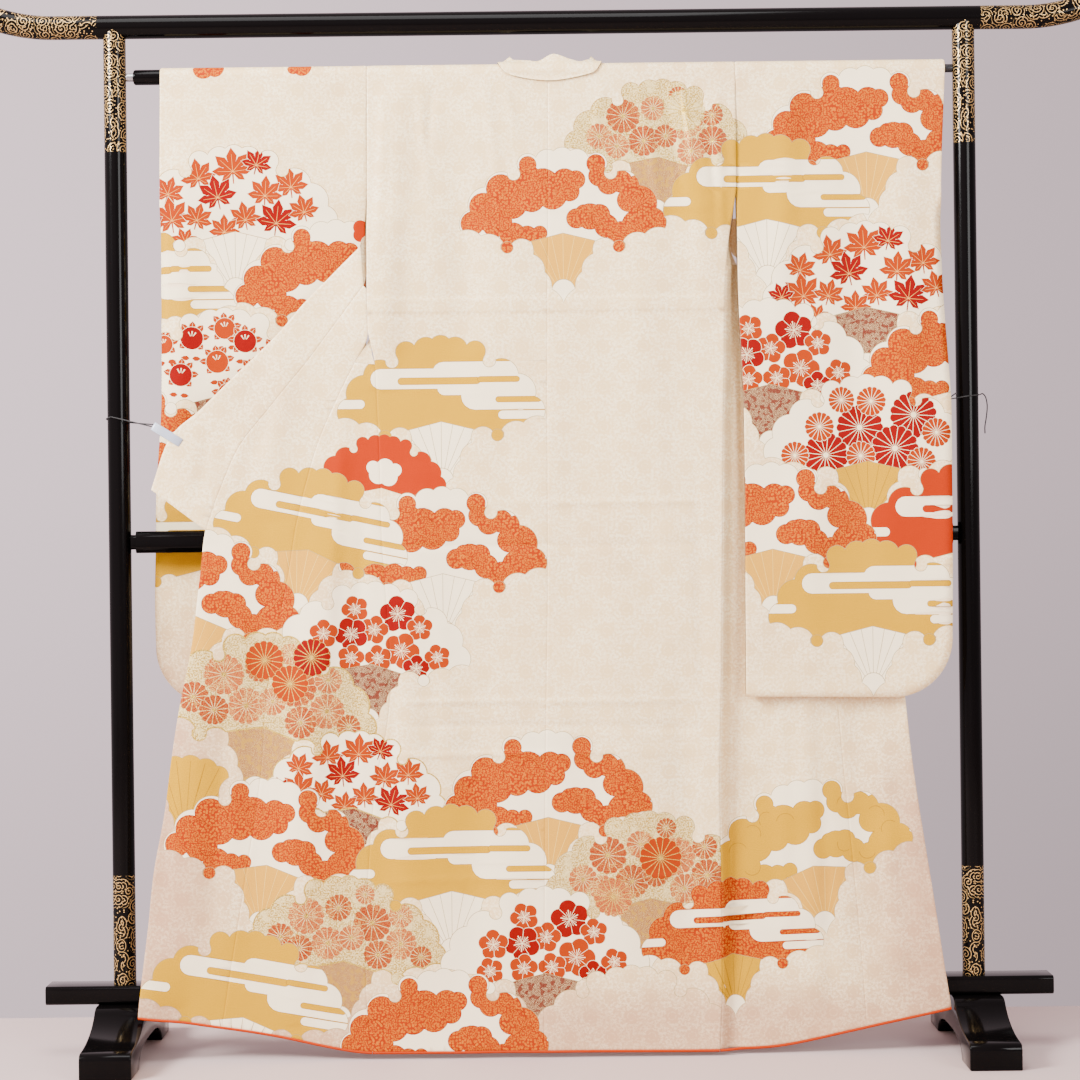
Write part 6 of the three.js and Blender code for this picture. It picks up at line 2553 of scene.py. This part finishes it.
FINISHES: Dict[str, object] = {
    "silk": Damask(),
    "lining": Dye((0.88, 0.72, 0.48), 0.02),
    "hem": Dye((0.36, 0.030, 0.0008), 0.03, 0.0, 0.42),
    "field": Dye((0.93, 0.80, 0.53), 0.02),
    "field_line": Dye((0.34, 0.24, 0.09), 0.04),
    "paste": Dye((0.88, 0.72, 0.42), 0.03),
    "vein": Dye((0.66, 0.30, 0.07), 0.03),
    "kanoko": Kanoko(),
    "kanoko_line": Dye((0.20, 0.016, 0.0006), 0.05),
    "orange": Dye((0.32, 0.030, 0.0003), 0.06),
    "red": Dye((0.21, 0.0025, 0.0022), 0.08),
    "vermilion": Dye((0.36, 0.024, 0.0003), 0.06),
    "vermilion_line": Dye((0.24, 0.016, 0.0006), 0.05),
    "gold": Dye((0.55, 0.285, 0.0002), 0.09, 0.0, 0.45),
    "gold_line": Dye((0.30, 0.14, 0.008), 0.05, 0.2, 0.4),
    "peach": Dye((0.62, 0.31, 0.030), 0.06),
    "peach_line": Dye((0.72, 0.46, 0.11), 0.03),
    "speckled": Speckle((0.60, 0.42, 0.20), (0.085, 0.008, 0.006), (0.12, 0.008, 0.006)),
    "brocade": Foil((0.72, 0.57, 0.25), (0.40, 0.24, 0.03), 2.6, 0.9, 0.3),
    "brocade_speckled": Speckle((0.62, 0.44, 0.15), (0.24, 0.070, 0.018), (0.44, 0.24, 0.03), 3.0, 0.1),
    "brocade_rust": Foil((0.26, 0.016, 0.001), (0.56, 0.30, 0.06), 2.4, 0.35, 0.2),
    "brocade_rose": Foil((0.33, 0.042, 0.005), (0.66, 0.42, 0.12), 2.2, 0.6, 0.2),
    "gold_thread": Thread((0.32, 0.19, 0.02), (0.78, 0.54, 0.10)),
    "lacquer": Hardware((0.0015, 0.0012, 0.0012), 0.10, 0.0, 0.08),
    "makie_post": GoldScroll(Round.POST, 19.0, 720.0, 1531.0, 306.0),
    "makie_rail": GoldScroll(Round.RAIL, 20.0, 1744.0, 748.0, 0.0),
    "gilt": Hardware((0.55, 0.30, 0.08), 0.28, 0.9),
    "clip": Hardware((0.38, 0.42, 0.50), 0.35, 0.1),
    "pin_bright": Hardware((0.40, 0.40, 0.42), 0.28, 0.95),
    "pin_dark": Hardware((0.02, 0.02, 0.022), 0.4, 0.5),
    "elastic": Hardware((0.008, 0.008, 0.008), 0.8),
}


@dataclass
class Finishes:
    """Every finish by name, each made once."""

    made: Dict[str, bpy.types.Material] = field(default_factory=dict)

    def material(self, name: str) -> bpy.types.Material:
        """Returns a finish, making it when it is first asked for."""
        if name not in self.made:
            material = bpy.data.materials.new(name)
            material.use_nodes = True
            FINISHES[name].paint(Graph(material))
            self.made[name] = material
        return self.made[name]


# ----------------------------------------------------------------------------- the whole
def main() -> None:
    """Builds the camera, the loose cord, the stand and the garment, in that order."""
    logging.basicConfig(level=logging.INFO, format="%(asctime)s %(name)s: %(message)s")
    Viewpoint().place()
    finishes = Finishes()
    Holders(finishes).build({
        Edge.LEFT: ClipPlace(-631, 1050, face_depth), Edge.RIGHT: ClipPlace(651, 1077, rear_depth),
    })
    Stand(finishes).build()
    low_fan = Fan(Spot(-596, 490, -5), None, "gold", "gold_line").patches()
    body, right = banks(BODY_BANKS, low_fan) + stitched(BODY_STITCHED), banks(RIGHT_FRONT_BANKS)
    dyed = {name: body for name in ("back_left", "back_right", "front_left", "okumi_left", "collar_left")}
    dyed.update({name: right for name in ("front_right", "okumi_right")})
    dyed.update(sleeve_left=banks(LEFT_SLEEVE_BANKS) + glimpses(), sleeve_right=banks(RIGHT_SLEEVE_BANKS))
    room = Workroom(finishes, dyed)
    rolls = HemRolls(finishes)
    first, last = float(BACK_EDGE.read("left", 8)), float(BACK_EDGE.read("right", 8))

    def swung(x: Array, z: Array) -> Array:
        """Returns the depth of the right front's hem."""
        return mix(face_depth(last, z) + 1, rear_depth(x, z), smooth(0, 46, x - last))

    Backs(room).build(rolls.roll("hem_roll_back", first, last, face_depth))
    Fronts(room).build({
        Edge.LEFT: rolls.roll("hem_roll_left", -686, first - 1.2, face_depth),
        Edge.RIGHT: rolls.roll("hem_roll_right", last + 1.2, 674, swung),
    })
    Collar(room).build()
    Sleeve(room, Edge.LEFT, LEFT_SLEEVE, 590, fold_rows((
        (-600, 1560, 980, -20, 26, 5), (-500, 1100, 620, -30, 40, 4),
    ))).build()
    Sleeve(room, Edge.RIGHT, RIGHT_SLEEVE, 596, fold_rows((
        (420, 1640, 1200, -20, 26, 6), (520, 1600, 700, 14, 34, -5), (610, 1640, 900, 10, 30, 5),
        (450, 1000, 620, -10, 34, 4),
    ))).build()
    studio = Studio()
    studio.floor()
    studio.light()


if __name__ == "__main__":
    main()
